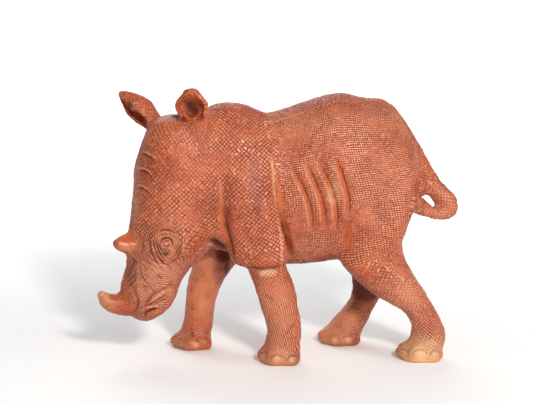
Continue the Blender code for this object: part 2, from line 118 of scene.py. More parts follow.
@dataclass(frozen=True)
class Stroke:
    """One cut or ridge of the gouge; a height below 0 cuts in.

    Points of two numbers are x, z, thrown onto the flanks; points of three lie near the surface.
    """

    points: Sequence[Sequence[float]]
    width: float
    height: float
    flanks: tuple[Flank, ...] = BOTH
    tint: Tint | None = Tint.SHADE
    amount: float = 0.8
    clears: float = 0.8
    head: bool = False


@dataclass(frozen=True)
class Patch:
    """A soft ellipsoid of tint, or of wood without gouge marks where tint is None."""

    middle: Place
    reach: Place
    tint: Tint | None
    amount: float = 1.0
    edge: float = 0.45


@dataclass(frozen=True)
class Zone:
    """A part of the surface with finer faces: middle, reach and how often they are halved."""

    middle: Place
    reach: Place
    halvings: int = 1


# Columns of the rows of points
X, Y, Z = range(3)


@dataclass(frozen=True)
class Region:
    """A part of the surface with soft limits: an axis, where the part begins and where it is full."""

    limits: tuple[tuple[int, float, float], ...]

    def share(self, points: np.ndarray) -> np.ndarray:
        """How far points belong to it, from 0 to 1."""
        return np.prod([smooth_step(points[:, axis], *ends) for axis, *ends in self.limits], axis=0)


NEAR = (Flank.NEAR,)
FAR = (Flank.FAR,)

# Cuts and ridges made one by one: the line, then width, height, tint, its amount and how far the
# net is cleared beside the cut, with the stroke's usual values where the last ones are left out.
# Dark tints along cuts and hollows are painted shade; light crest and pale lines on ridges are
# painted highlights.
NEAR_CUTS = (
    (((-42, 130), (-41, 120), (-40.4, 110), (-39.4, 102)), 0.8, -0.6, Tint.CREST, 0.25, 0.9),
    (((-42, 116), (-41, 107), (-39.6, 97), (-37.4, 86), (-36, 80)), 2.1, -0.8, Tint.GLOW, 0.4, 1),
    (((-40.6, 114), (-39.8, 105), (-38, 95), (-36, 86)), 0.6, -0.4, Tint.SHADE, 0.5, 0.5),
    (((-39.6, 112), (-38, 100), (-35.8, 88), (-33.6, 78), (-32.6, 71)), 1.4, -1.6, Tint.DEEP_SHADE, 0.85),
    (((-7.4, 146), (-7, 132), (-6.2, 118), (-5, 108)), 1, 0.9, Tint.PALE, 0.5, 1),
    (((-4.2, 134), (-3.2, 120), (-1.4, 108), (1.2, 96), (4.4, 84), (7, 71)),
     1.5, -1.4, Tint.GLOW, 0.5, 1),
    (((-3.6, 112), (-1.6, 104), (1.6, 92), (5, 81), (7.6, 70)), 1.3, -1.5, Tint.DEEP_SHADE, 0.8),
    (((-32.9, 71.2), (-25.9, 69), (-15.8, 67.6), (-5.7, 68.6), (3.4, 70.5)),
     1.3, -1.1, Tint.DEEP_SHADE, 0.8, 1),
    (((-101.8, -21, 55.5), (-98.6, -24.5, 50.2), (-97.4, -25, 44.9), (-98.1, -24, 39.8),
     (-101.2, -18.3, 33.4)), 0.9, -1, Tint.SHADE, 0.75, 1),
    (((-96.6, -20, 92), (-94.2, -24, 88), (-93.4, -25, 83.3), (-94, -24.5, 79), (-96.5, -21, 74.4)),
     0.8, -0.7, Tint.SHADE, 0.6, 1),
    (((-113.5, -15, 84), (-108.8, -18, 83.1), (-102, -20.5, 83.4), (-96.6, -22, 83.7)),
     0.8, 0.6, Tint.CREST, 1, 1),
    (((-49.5, -22, 86.6), (-47, -20.5, 85.2), (-43.8, -17.3, 82.1), (-39.5, -14.5, 79.2), (-36, -8, 75)),
     2.9, -2.2, Tint.DEEP_SHADE, 0.95, 1),
    (((-50.2, -21.5, 83.4), (-47.6, -19, 81.2), (-44, -13, 78.4), (-40.5, -2, 74.4)),
     1, 0.8, Tint.PALE, 0.8, 1),
    (((-65.4, -14.4, 171.7), (-60.8, -16.2, 167.2), (-56.9, -18, 166), (-54.2, -17.8, 168)),
     1.4, 0.5, Tint.GLOW, 0.5, 1),
    (((-58.6, -17, 169.4), (-57.4, -17, 167.6)), 1.2, 0.4, Tint.PALE, 0.9, 1),
    (((-105.6, 12.6, 178), (-101.9, 9.1, 171.6), (-99.3, 7.6, 167.7), (-95.3, 6.7, 163.6),
     (-92, 8, 160.5)), 1.9, -0.4, Tint.DEEP_SHADE, 0.85, 1),
    (((-62.6, -15.5, 178.6), (-60.6, -13, 174.9), (-58.5, -12.8, 172.1), (-56.4, -14.4, 169.6)),
     2.6, -0.3, Tint.DEEP_SHADE, 0.8, 1),
    (((-60.2, -15, 176.2), (-57.4, -13.2, 173.2), (-55.4, -14.4, 170.6)), 2, -0.2, Tint.DEEP_SHADE, 0.6, 1),
    (((101.5, -8.5, 121.6), (106.5, -7.9, 117.6), (110.4, -8.3, 114.2)), 0.7, -0.5, Tint.PALE, 0.5, 1),
)
FAR_CUTS = (
    (((-46, 134), (-45.5, 121), (-48, 104), (-53, 93)), 2, 0.8, Tint.CREST, 0.7, 0.2),
    (((-43.5, 136), (-44, 115), (-47, 101), (-53, 87), (-60, 74)), 1.7, -1.2, Tint.SHADE),
    (((-8, 146), (-8, 128), (-8, 111), (-10, 95), (-16, 76)), 1.7, 0.9, Tint.CREST, 0.7, 0.3),
    (((-4, 132), (-3.4, 111), (-5, 95), (-11, 78), (-17, 66)), 1.5, -1.2, Tint.SHADE),
    (((-55, 62), (-44, 59.5), (-33, 59.5), (-24, 62)), 1.3, -0.9, Tint.SHADE, 0.8, 1),
)
GROIN_CUTS = (
    (((50, 108), (45.8, 95), (43.2, 84), (42, 74)), 2.2, -0.8, Tint.GLOW, 0.45, 0.6),
    (((48.6, 104), (44.4, 92), (42, 80)), 0.9, -0.3, Tint.SHADE, 0.6, 0.3),
)
FACE_CUTS = (
    (((-79.4, 85), (-78.6, 85.3), (-77.8, 85.2)), 1.5, 1.3, Tint.CREST, 0.6, 1),
    (((-93.4, 33.6), (-92.4, 36.4), (-89.6, 38.2), (-86.2, 39.1), (-83.2, 39)),
     0.8, -1.6, Tint.DEEP_SHADE, 0.9, 1),
    (((-92.8, 40.2), (-89.6, 41), (-86.2, 41.6), (-82.6, 41.4)), 0.8, 0.7, Tint.CREST, 0.8, 1),
    (((-91, 35.4), (-88, 36.2), (-84, 36.4), (-80, 37.6)), 1.1, 0.5, Tint.GLOW, 0.35, 0.6),
    (((-95.1, 40.9), (-92.8, 42.7), (-90.2, 45.8), (-86.8, 49.2), (-84.3, 50.8), (-80.8, 52.7),
     (-77.4, 53.8), (-74.4, 54.1)), 0.7, -1.2, Tint.DEEP_SHADE, 0.8, 0.9),
    (((-94.4, 42.6), (-91.9, 41.8), (-88.6, 43.3), (-84.3, 45.8), (-80, 47.6), (-76.5, 49.7)),
     0.7, -1, Tint.DEEP_SHADE, 0.75, 0.9),
    (((-88.4, 40.6), (-84.4, 43.8), (-80.9, 45.3), (-77.4, 46.3), (-75.6, 47.2)),
     0.6, -0.7, Tint.SHADE, 0.9, 0.9),
    (((-93, 44.6), (-89.6, 48.4), (-85.6, 52), (-81, 54.6)), 0.55, -0.5, Tint.SHADE, 0.7, 0.7),
    (((-90.4, 43.9), (-86, 47), (-81.4, 49.8), (-76.4, 51.9)), 0.6, 0.6, Tint.CREST, 0.7, 0.9),
    (((-79.1, 54), (-75.7, 55.4), (-72, 52.7), (-70.9, 48.4)), 0.6, -0.6, Tint.SHADE, 0.7, 0.7),
    (((-66.8, 94), (-66.6, 86), (-67.2, 76)), 0.5, -0.4, Tint.PALE, 0.4, 0.5),
    (((-64.6, 93), (-64.3, 84), (-64.8, 75)), 0.5, -0.4, Tint.PALE, 0.35, 0.5),
)
RIB_LINES = (
    ((6, 135), (12.5, 123), (17.3, 110), (19.5, 92)),
    ((15, 139), (21.7, 124), (26.2, 110), (28.3, 93)),
    ((23.5, 139), (31, 124), (35, 110), (35.8, 92)),
    ((35, 142), (39.6, 129), (43.1, 116), (43.3, 101)),
)

# The eye's middle x, z on the near cheek, its middles in the frame, and the lines cut round it
EYE = (-78.6, 85.4)
EYE_MIDDLES = ((-78.6, -30, 84), (-87, 26, 84))
DEEP_EYE_LINES = (
    ((-82.4, 84.6), (-81.7, 87.2), (-79.6, 88.7), (-76.9, 88.8), (-74.8, 87.2), (-74.3, 84.9),
     (-75.8, 82.5)),
    ((-81.2, 84.6), (-80.4, 83.2), (-78.9, 82.7), (-77, 83.6), (-76, 85.2)),
    ((-86.2, 89.6), (-86.9, 84.6), (-85.8, 79.7), (-83.4, 74.9), (-80, 70.8), (-77, 69)),
    ((-84.5, 88.7), (-84.9, 84.6), (-83.8, 80.4), (-81.7, 76.3), (-78.9, 72.1)),
    ((-82.9, 87.4), (-83.4, 84.4), (-82.4, 81.6), (-80.3, 77.8), (-78.3, 74)),
    ((-81.5, 82.5), (-79.7, 79), (-77.5, 75.4)),
    ((-80.1, 81.9), (-78.3, 79.2), (-76.4, 76.4)),
)
FINE_EYE_LINES = (
    ((-80.9, 85.6), (-79.8, 87), (-77.8, 87.2), (-76.4, 86.2)),
    ((-83.6, 89.9), (-80.2, 91.6), (-76, 91.3), (-72.7, 88.9), (-71.6, 87.2)),
    ((-84.4, 93.2), (-80, 94.6), (-75.4, 94), (-71.4, 91.2)),
    ((-78.3, 81.9), (-76.9, 80), (-75.4, 77.9)),
    ((-73.6, 84.6), (-72.5, 81.8), (-73.5, 78.7), (-75.9, 76.1)),
    ((-72.2, 85.5), (-70.8, 81.8), (-71.5, 77.7), (-74.6, 74)),
    ((-70.6, 86), (-69.1, 80.6), (-70.1, 76.3), (-73.8, 72.1), (-77.7, 70.2)),
    ((-88.6, 90.2), (-89.4, 84.6), (-88.4, 78.6), (-85.6, 72.8), (-81.6, 68.4)),
)

# The tail's tuft: where its cuts meet, and of each pair the first angle, width, height and tint
TUFT_ROOT = (98, 105)
# The dark cuts are painted shade, the light raised ones painted highlight
TUFT_PAIR = ((118, 0.7, -0.9, Tint.SHADE), (126, 1.0, 0.9, Tint.CREST))

# Upright wrinkles on the brow: x, z along each
BROW_WRINKLES = (
    ((-94.5, 143.9), (-90.7, 143.5), (-87.6, 142.2), (-84.3, 139.0)),
    ((-96.6, 132.4), (-92.2, 132.9), (-89.1, 131.4), (-86.9, 127.4)),
    ((-98.0, 120.4), (-93.7, 121.3), (-90.5, 119.9), (-87.8, 115.2)),
)

# Wrinkles across the bridge between the horns: x, y, z along each
BRIDGE_WRINKLES = (
    ((-105.3, -17.0, 57.8), (-104.0, -17.6, 60.7), (-102.7, -18.2, 63.2), (-101.3, -19.0, 65.1)),
    ((-104.3, -16.6, 61.2), (-103.0, -17.1, 64.0), (-101.4, -18.4, 66.7), (-99.6, -20.3, 68.4)),
    ((-103.6, -15.7, 64.4), (-102.2, -17.1, 67.1), (-100.6, -18.9, 69.3), (-98.3, -21.1, 71.0)),
    ((-105.1, -18.7, 55.4), (-102.8, -20.1, 58.8), (-100.8, -21.2, 61.4), (-98.4, -22.5, 63.4)),
    ((-104.8, -19.9, 52.9), (-102.5, -21.5, 56.0), (-100.2, -22.7, 58.3), (-97.9, -23.9, 60.2)),
    ((-101.6, -16.5, 73.0), (-99.6, -19.8, 71.8), (-95.7, -23.7, 69.4)),
)

# Lines that are cut alike: how far they move in x and z, then width, height, flanks, tint, its
# amount, how far the net is cleared and whether they lie on the head
# The dark cuts here are painted shade, the crest lines beside them painted highlight
ALIKE = (
    (RIB_LINES, (0, 0), (1.0, -1.7, BOTH, Tint.GLOW, 0.55, 1.0)),
    (RIB_LINES, (1.3, 0), (0.55, -0.2, BOTH, Tint.SHADE, 0.8, 0.6)),
    (RIB_LINES, (-2.2, 0), (1.1, 0.4, BOTH, Tint.CREST, 0.35, 0.5)),
    (DEEP_EYE_LINES, (0, 0), (0.7, -1.5, BOTH, Tint.DEEP_SHADE, 1.0, 1.0, True)),
    (FINE_EYE_LINES, (0, 0), (0.56, -1.2, BOTH, Tint.DEEP_SHADE, 0.8, 1.0, True)),
    (BROW_WRINKLES, (0, 0), (0.9, -1.2, BOTH, Tint.SHADE, 1.0, 0.9, True)),
    (BROW_WRINKLES, (0, 1.8), (0.9, 0.6, BOTH, Tint.CREST, 0.6, 0.6, True)),
)

# Horn paths before the head is turned: x, y, z, radius; their wood is bare from the base x on
NOSE_HORN_BASE, BROW_HORN_BASE = -104, -101
NOSE_HORN = (
    (-98, 0, 41.7, 11.2), (-105, 0, 40.6, 9.6), (-111, 0, 40, 8.1), (-116.5, 0, 40.9, 6.9),
    (-121, 0, 43.9, 5.6), (-123.6, 0, 48, 4.3), (-125.2, 0, 51.8, 2.8),
)
BROW_HORN = ((-97, -1, 81.4, 10.6), (-103, 0, 81.6, 8.6), (-109, 0, 82, 5.8), (-116.4, 0, 82.2, 3))
TAIL = (
    (90, 0, 143.5, 8.2), (97, 0, 133.5, 6.8), (103.3, -1, 122.5, 6.4), (110, -2, 112.2, 6.8),
    (117.4, -3, 105, 7.9), (118.4, -4, 98.8, 6.8), (110.5, -6, 96.5, 4.5), (102.3, -9, 99.6, 4.5),
)

# Nails: middle, the way they face, half width and half height
NAILS = (
    ((-5, -40, 5.2), (-0.1, -1, 0), 5.4, 4.6), ((5.5, -39, 4.6), (0.5, -1, 0), 4.0, 3.8),
    ((-14, -32, 5), (-1, -0.8, 0), 4.6, 4.4), ((-14, -20, 5), (-1, 0.1, 0), 4.6, 4.4),
    ((-66, 13, 5), (-0.8, -0.7, 0), 4.8, 4.2), ((-56, 8, 5), (-0.1, -1, 0), 5.2, 4.4),
    ((-72, 25, 5), (-1, 0, 0), 5.0, 4.4), ((-60, 41, 5), (-0.1, 1, 0), 5.2, 4.4),
    ((92.4, -41, 6), (0, -1, 0), 5.6, 5.2), ((103, -41, 5.4), (0.3, -1, 0), 4.2, 4.6),
    ((81.5, -33, 5), (-0.9, -0.7, 0), 4.8, 4.6), ((79, -22, 5), (-1, 0.2, 0), 4.6, 4.4),
    ((41, 11, 5), (-0.6, -0.8, 0), 5.0, 4.4), ((51, 10, 5), (0.1, -1, 0), 4.8, 4.2),
    ((33, 26, 5), (-1, 0, 0), 4.8, 4.4), ((45, 42, 5), (0, 1, 0), 5.2, 4.4),
)

# Soft patches of each tint, or of plain wood: middle, reach, amount and, where it isn't the usual
# one, the share of the reach at which the full amount begins
PATCHES = {
    None: (
        ((52, -35, 63), (14, 12, 9), 0.6), ((2, -30, 150), (16, 20, 15), 0.4),
    ),
    # Painted deep shade and cast shadow: on the far legs under the body, under the chest, between the
    # ears, under the tuft and in the far ear's slit
    Tint.DEEP_SHADE: (
        ((64, 16, 46), (20, 20, 17), 0.75, 0.75), ((-36, 10, 69), (8, 10, 11), 0.95),
        ((-69, -10, 168.6), (6, 10, 2.8), 0.9), ((-65, -18.5, 167), (3, 4, 2.5), 0.8),
        ((-33.5, 14, 58), (3, 9, 8), 0.8), ((95.5, -21, 99.5), (5, 6, 3), 0.6),
        ((-100.5, 9, 172.5), (3.4, 4, 6), 0.8), ((-97, 8, 166.5), (4, 4, 6), 0.9),
        ((-93, 8, 161), (3.6, 4, 6), 0.8),
    ),
    # Lighter places; on the far legs, the brow edge, the back and between the eye's lines this is painted
    # light
    Tint.CREST: (
        ((44, 24, 16), (20, 20, 22), 0.6), ((82, -32, 36), (20, 20, 34), 0.3),
        ((-99, -14, 124), (6, 16, 34), 0.3), ((40, -18, 160), (60, 22, 18), 0.16),
        ((-50, 20, 48), (18, 18, 40), 0.5), ((-8, -34, 34), (18, 18, 40), 0.22),
        ((112, -9, 104), (14, 9, 16), 0.25), ((-78.6, -28, 82), (12, 9, 15), 0.25),
        ((-86.9, 26, 82), (12, 9, 15), 0.25), ((-84, -28, 58), (20, 14, 24), 0.34),
        ((66, -36, 122), (30, 16, 36), 0.16),
    ),
    # Orange painted light on the far legs and the brow horn's upper facet; orange wood on the near fore
    # leg and by the flank fold
    Tint.GLOW: (
        ((45, 24, 20), (20, 20, 24), 0.35), ((-105, -13, 88), (9, 6, 4.6), 0.7),
        ((-52, 20, 40), (18, 18, 38), 0.4), ((-6, -27, 56), (14, 16, 16), 0.35),
        ((44, -34, 88), (8, 10, 14), 0.3),
    ),
    Tint.SHADE: (
        ((-40, -12, 80), (8, 15, 6), 0.9), ((92, -24, 119), (9, 10, 9), 0.3),
        ((-17.8, -37, 107.4), (4, 5, 4.5), 0.5), ((-58.6, -13.5, 173.5), (7, 5, 8), 0.8),
        ((-67.5, -15, 167.5), (5, 6, 3.5), 0.8), ((-125.5, -17, 53), (3, 3, 3), 0.7),
        ((-115.8, -14, 84), (2.6, 3, 2.6), 0.7), ((24, -38, 108), (30, 14, 34), 0.12),
        ((26, 0, 66), (30, 40, 8), 0.25),
    ),
    # Purple grey; on the bridge's side, the brow's front edge and the back's hollow it is painted shade on
    # faces turned from the light
    Tint.GREY: (
        ((-101, -19, 62), (6, 8, 14), 0.5), ((-99.5, -12, 120), (5, 15, 36), 0.25),
        ((-18, -36, 126), (7, 12, 24), 0.3), ((66, -17, 171), (18, 12, 6), 0.35),
        ((7, -38, 6), (4, 8, 7), 0.7),
    ),
    # Pale wood on the feet and horn tips; on the brow horn's lower facet and the lit far hind leg it is
    # painted light
    Tint.PALE: (
        ((-121, -16, 47), (7, 7, 8), 0.45), ((-104, -19, 79.5), (9, 6, 4.6), 0.2),
        ((-11, -38, 65), (9, 5, 3.4), 0.7), ((97, -30, 3), (22, 22, 22), 0.75),
        ((47, 26, 4), (20, 20, 14), 0.4), ((-2, -28, 3), (18, 20, 13), 0.35),
        ((-58, 25, 3), (18, 20, 13), 0.35), ((-117, -17, 42), (7, 6, 6), 0.3),
        ((46, 26, 26), (18, 18, 22), 0.35), ((34, -38, 118), (6, 8, 12), 0.4),
    ),
}

# Where the net is weaker, and by how much
SOLES = Region(((Z, 4, 1),))
LOWER_LEGS = Region(((Z, 66, 54), (X, -66, -60)))
EARS = Region(((Z, 163, 169), (X, -50, -56)))
FAR_LEG_TOP = Region(((Y, 2, 8), (Z, 76, 68), (X, -28, -34)))
TAIL_END = Region(((X, 94, 100), (Z, 84, 92)))
CROWN = Region(((Z, 108, 136), (X, -38, -50)))
WEAKER = (
    (SOLES, 1.0), (LOWER_LEGS, 0.35), (EARS, 0.5), (FAR_LEG_TOP, 0.85), (TAIL_END, 0.3), (CROWN, 0.35),
)

THIN_EARS = Region(((Z, 161, 166), (X, -46, -52)))
FORE_LEGS = Region(((Z, 64, 52), (X, -70, -64), (X, 30, 24)))
LINED_LEGS = Region(((Z, 68, 54), (X, -70, -62), (Z, 3, 12)))
MUZZLE = Region(((Z, 76, 70), (X, -58, -68)))
BESIDE_BRIDGE = Region(((Z, 100, 84), (X, -58, -66), (X, -88, -92)))
CHEEK = Region(((X, -58, -66),))

# The fine lines on hind, far fore and near fore leg: x and z of the direction across them
LEG_SLANTS = ((0.70, 0.72), (0.55, -0.84), (0.95, 0.3))


# Soft unevenness: a mean, then noises by strength, width of blob in millimetres and seed
NET_UNEVEN = (0.80, (0.65, 14, 3), (0.5, 5, 4))
FACE_UNEVEN = (1.0, (0.4, 12, 6), (0.8, 4, 7))
LEG_UNEVEN = (0.55, (0.47, 12, 6), (0.78, 4, 7))

# Cuts made in loops: width, height, flanks, tint, its amount and how far the net is cleared
# Their dark tints are painted shade in the cuts
BRIDGE_CUT = (0.7, -1.0, NEAR, Tint.DEEP_SHADE, 0.6, 0.7)
NAIL_CUT = (0.55, -0.9, NEAR, Tint.DEEP_SHADE, 0.6, 1.0)
NOTCH_CUT = (0.6, -0.6, NEAR, Tint.SHADE, 0.5, 0.3)
# The same without a width, which the loop gives
BARE_NAIL = (0.3, NEAR, Tint.PALE, 0.55, 1.0)
EAR_PIT = (-0.5, NEAR, Tint.SHADE, 0.55, 0.0)
# Rings: the gap between two, width, height and whether the path turns with the head
NOSE_HORN_RINGS = (2.3, 0.5, -0.28, True)
TAIL_RINGS = (3.2, 0.9, -0.5, False)

# Ranges that the random cuts are drawn from: place, rise in degrees, half length in millimetres
MUZZLE_CUTS = {"count": 80, "x": (-106, -72), "z": (52, 80), "rise": (-62, -18), "half": (1.2, 3.6)}
MUZZLE_AMOUNT = (0.3, 0.9)
STRAY_CUTS = {"count": 150, "x": (-85, 100), "z": (20, 165), "rise": (-8, 8), "half": (3, 8)}
STRAY_BOW = (-1.0, 1.0)
RING_RANGES = {"depth": (0.5, 1.2), "amount": (0.1, 0.35)}
TUFT_RANGES = {"far": (0.7, 1.1), "bow": (-1.2, 1.8), "amount": (0.35, 0.75)}
STRAY_RISES = (-48, 42, -35, 55)
BROW_NOTCHES = {"z": (92, 152), "gap": (1.6, 3.4), "tilt": (-1.2, 1.2), "end": (-16, -9)}
BROW_NOTCH_X = -103
BROW_NOTCH_Y = (-6, -1, 5)
EAR_PITS = {"count": 70, "width": (0.7, 1.1)}
EAR_HOLLOWS = (((-60, -20, 178), (9, 6, 12)), ((-97, 14, 171), (13, 9, 12)))


@dataclass(frozen=True)
class OiledHardwood:
    """Close-grained reddish hardwood, cut with a gouge and oiled by hand.

    The eye sees a warm orange brown with a satin shine. Every cut is darkened with painted shade,
    the tops between them are lighter, partly wear and partly painted highlight, and pale sapwood
    shows on feet, nails and horn tips. Grey is in places painted shade on faces turned from the
    light, the deepest dark is painted shade in hollows and under the body, and crest, glow and pale
    also paint light on ridges and lit legs.
    """

    body: str = "#b25735"
    deep: str = "#963f1e"
    # Painted shade in every cut, and the colour of random dark flecks
    groove: str = "#651c06"
    # Painted highlight on ridges, lit places and the tops between cuts, which are partly wear too
    crest: str = "#e8a480"
    # Bright orange of smooth wood, on the far legs and a horn facet painted light
    glow: str = "#c8622a"
    # Purple grey, in places painted shade on faces turned from the light
    grey: str = "#87534a"
    # Pale sapwood, and painted highlight on some ridges and facets
    pale: str = "#e2b686"
    # Painted deep shade in hollows, slits, cast shadows and the darkest cuts
    deep_shade: str = "#4a180c"
    roughness: float = 0.45
    rubbed_roughness: float = 0.25
    specular: float = 0.36
    ior: float = 1.5


@dataclass(frozen=True)
class BackdropPaper:
    """Matt white seamless paper: even, without shine, so that only soft shadows show on it."""

    colour: str = "#f8f9fa"
    roughness: float = 0.9
    specular: float = 0.1

    def build(self) -> bpy.types.Material:
        """Makes the material.

        Returns:
            Matt white paper for floor and backdrop.
        """
        material = bpy.data.materials.new("matt white backdrop paper")
        material.use_nodes = True
        shader = material.node_tree.nodes["Principled BSDF"]
        shader.inputs["Base Color"].default_value = linear(self.colour)
        shader.inputs["Roughness"].default_value = self.roughness
        shader.inputs["Specular IOR Level"].default_value = self.specular
        return material


@dataclass(frozen=True)
class Softbox:
    """A square soft light: its place and side in metres, and what it faces if not the figure."""

    name: str
    place: Place
    side: float
    watts: float
    colour: str = "#ffffff"
    aimed_at: Place | None = None


@dataclass
class Studio:
    """A pale floor that runs up into a backdrop, soft lights and the camera of the photograph."""

    paper: BackdropPaper = field(default_factory=BackdropPaper)
    half_width: float = 8.0
    front: float = -9.0
    back: float = 2.4
    cove: float = 0.8
    cove_steps: int = 12
    height: float = 2.4
    air_colour: str = "#ffffff"
    air_strength: float = 0.42
    softboxes: tuple[Softbox, ...] = (
        Softbox("key softbox", (0.24, -1.46, 0.82), 0.2, 20.5, "#fffaf3"),
        Softbox("fill softbox", (1.15, -0.95, 0.55), 0.6, 6.0, "#fffcf8"),
        Softbox("back softbox", (-0.3, 1.2, 1.3), 0.9, 6.0),
        Softbox("backdrop softbox", (0.0, 1.1, 1.6), 1.6, 30.0, aimed_at=(0.0, 2.4, 0.7)),
    )
    azimuth_deg: float = -6.0
    elevation_deg: float = 10.5
    distance: float = 1.6
    target: Place = (-0.0075, 0.0001, 0.1065)
    metres_per_pixel: float = 0.685e-3
    image_width: int = 533
    sensor: float = 36.0

    def floor(self) -> bpy.types.Object:
        """Makes the floor and backdrop as one swept sheet.
        """
        turns = [math.pi / 2 * i / self.cove_steps for i in range(self.cove_steps + 1)]
        bend_y = self.back - self.cove
        profile = [(self.front, 0.0)]
        profile += [(bend_y + self.cove * math.sin(t), self.cove * (1 - math.cos(t))) for t in turns]
        profile.append((self.back, self.height))
        corners = [(x, y, z) for y, z in profile for x in (-self.half_width, self.half_width)]
        faces = [(2 * i, 2 * i + 1, 2 * i + 3, 2 * i + 2) for i in range(len(profile) - 1)]
        mesh = bpy.data.meshes.new("studio_floor")
        mesh.from_pydata(corners, [], faces)
        mesh.shade_smooth()
        mesh.materials.append(self.paper.build())
        sheet = placed("studio_floor", mesh)
        return sheet

    def hang(self, box: Softbox) -> None:
        """Hangs a square soft light and turns it to what it faces.

        Args:
            box: the light's place, side, watts and colour.
        """
        light = bpy.data.lights.new(box.name, "AREA")
        light.size = box.side
        light.energy = box.watts
        light.color = linear(box.colour)[:3]
        lamp = placed(box.name, light)
        lamp.location = box.place
        aim = Vector(box.aimed_at or self.target) - Vector(box.place)
        lamp.rotation_euler = aim.to_track_quat("-Z", "Y").to_euler()

    def lights(self) -> None:
        """Hangs the softboxes, a key and a weak fill from the right, one behind and one on the backdrop,
        and even light all round.
        """
        for box in self.softboxes:
            self.hang(box)
        world = bpy.data.worlds.new("studio air")
        world.use_nodes = True
        air = world.node_tree.nodes["Background"]
        air.inputs["Color"].default_value = linear(self.air_colour)
        air.inputs["Strength"].default_value = self.air_strength
        bpy.context.scene.world = world

    def camera(self) -> None:
        """Sets the camera where the photograph's was, as far as its picture tells."""
        azimuth, elevation = math.radians(self.azimuth_deg), math.radians(self.elevation_deg)
        back = Vector((
            math.sin(azimuth) * math.cos(elevation),
            -math.cos(azimuth) * math.cos(elevation),
            math.sin(elevation),
        ))
        lens = bpy.data.cameras.new("photograph")
        lens.sensor_width = self.sensor
        lens.lens = self.sensor * self.distance / (self.metres_per_pixel * self.image_width)
        viewer = placed("photograph", lens)
        viewer.location = Vector(self.target) + back * self.distance
        viewer.rotation_euler = (-back).to_track_quat("-Z", "Y").to_euler()
        bpy.context.scene.camera = viewer

    def build(self) -> None:
        """Sets up floor, lights and camera."""
        self.floor()
        self.lights()
        self.camera()
        bpy.context.scene.view_settings.view_transform = "Standard"
        log.info("studio: floor, lights and camera")


def placed(name: str, data: bpy.types.ID) -> bpy.types.Object:
    """Puts a mesh, light or camera into the scene as an object.

    Args:
        name: the object's name.
        data: what it shows.

    Returns:
        The object.
    """
    made = bpy.data.objects.new(name, data)
    bpy.context.scene.collection.objects.link(made)
    return made


def linear(colour: str) -> tuple[float, float, float, float]:
    """Turns an sRGB hex colour into the renderer's linear one.

    Args:
        colour: such as "#b9694c".

    Returns:
        Red, green, blue and an alpha of 1.
    """
    shares = [int(colour[i:i + 2], 16) / 255 for i in (1, 3, 5)]
    red, green, blue = (s / 12.92 if s <= 0.04045 else ((s + 0.055) / 1.055) ** 2.4 for s in shares)
    return red, green, blue, 1.0


def node(
    tree: bpy.types.NodeTree, kind: str, links: dict | None = None, **settings: object
) -> bpy.types.Node:
    """Adds a shader node.

    Args:
        tree: the material's tree.
        kind: the node's type without its common beginning.
        links: for inputs by name or number, a node or socket to link, a colour in hex or a value.
        settings: the node's own properties.

    Returns:
        The node.
    """
    made = tree.nodes.new("ShaderNode" + kind)
    for name, value in settings.items():
        setattr(made, name, value)
    for name, value in (links or {}).items():
        if isinstance(value, bpy.types.Node):
            value = value.outputs[0]
        if isinstance(value, bpy.types.NodeSocket):
            tree.links.new(value, made.inputs[name])
        else:
            made.inputs[name].default_value = linear(value) if isinstance(value, str) else value
    return made


def read(items: Sequence, name: str, wide: int = 1, kind: type = np.int32) -> np.ndarray:
    """Reads one property of all of a mesh's items.

    Args:
        items: such as the mesh's points or edges.
        name: the property.
        wide: how many numbers it has.
        kind: their type.

    Returns:
        The numbers, in rows where the property has more than one.
    """
    flat = np.empty(len(items) * wide, kind)
    items.foreach_get(name, flat)
    return flat.reshape(-1, wide) if wide > 1 else flat


def rows(mesh: bpy.types.Mesh) -> np.ndarray:
    """The mesh's points as rows of x, y and z in metres."""
    return read(mesh.vertices, "co", 3, float)


def edge_ends(mesh: bpy.types.Mesh) -> np.ndarray:
    """The two point numbers of each of the mesh's edges, as rows."""
    return read(mesh.edges, "vertices", 2)


def write_masks(mesh: bpy.types.Mesh, masks: dict[str, np.ndarray]) -> None:
    """Keeps one number for each point under each name, for the finish to read.

    Args:
        mesh: the mesh that is given them.
        masks: the numbers by name.
    """
    for name, values in masks.items():
        layer = mesh.attributes.new(name, "FLOAT", "POINT")
        layer.data.foreach_set("value", values.astype(np.float32))


def relaxed(
    points: np.ndarray, ends: np.ndarray, times: int, share: np.ndarray | float = 0.5
) -> np.ndarray:
    """Draws points towards the mean of their neighbours.

    Args:
        points: rows of x, y and z.
        ends: the two point numbers of each edge.
        times: how often.
        share: how far each time, for all points or for each.

    Returns:
        The moved points.
    """
    count = np.bincount(ends.ravel(), minlength=len(points))
    share = np.broadcast_to(np.asarray(share, float), (len(points),))[:, None]
    for _ in range(times):
        sums = np.empty_like(points)
        for axis in range(3):
            column = points[:, axis]
            sums[:, axis] = np.bincount(ends[:, 0], column[ends[:, 1]], len(points))
            sums[:, axis] += np.bincount(ends[:, 1], column[ends[:, 0]], len(points))
        points = points + (sums / count[:, None] - points) * share
    return points


def smooth_step(value: np.ndarray, low: float, high: float) -> np.ndarray:
    """0 below low, 1 above high and an eased rise between; low may be the greater."""
    share = np.clip((value - low) / (high - low), 0, 1)
    return share * share * (3 - 2 * share)


def within(points: np.ndarray, middle: tuple, reach: tuple, edge: float) -> np.ndarray:
    """How far points lie in an ellipsoid, from 0 at its reach to 1 at that share of it."""
    return smooth_step(np.linalg.norm((points - middle) / np.array(reach), axis=1), 1.0, edge)


def turned(point: Vector) -> Vector:
    """A point of the straight head, in millimetres, turned with it about the neck."""
    pivot = Vector((HEAD_PIVOT_X, 0, 0))
    return Matrix.Rotation(math.radians(HEAD_TURN_DEG), 3, "Z") @ (point - pivot) + pivot


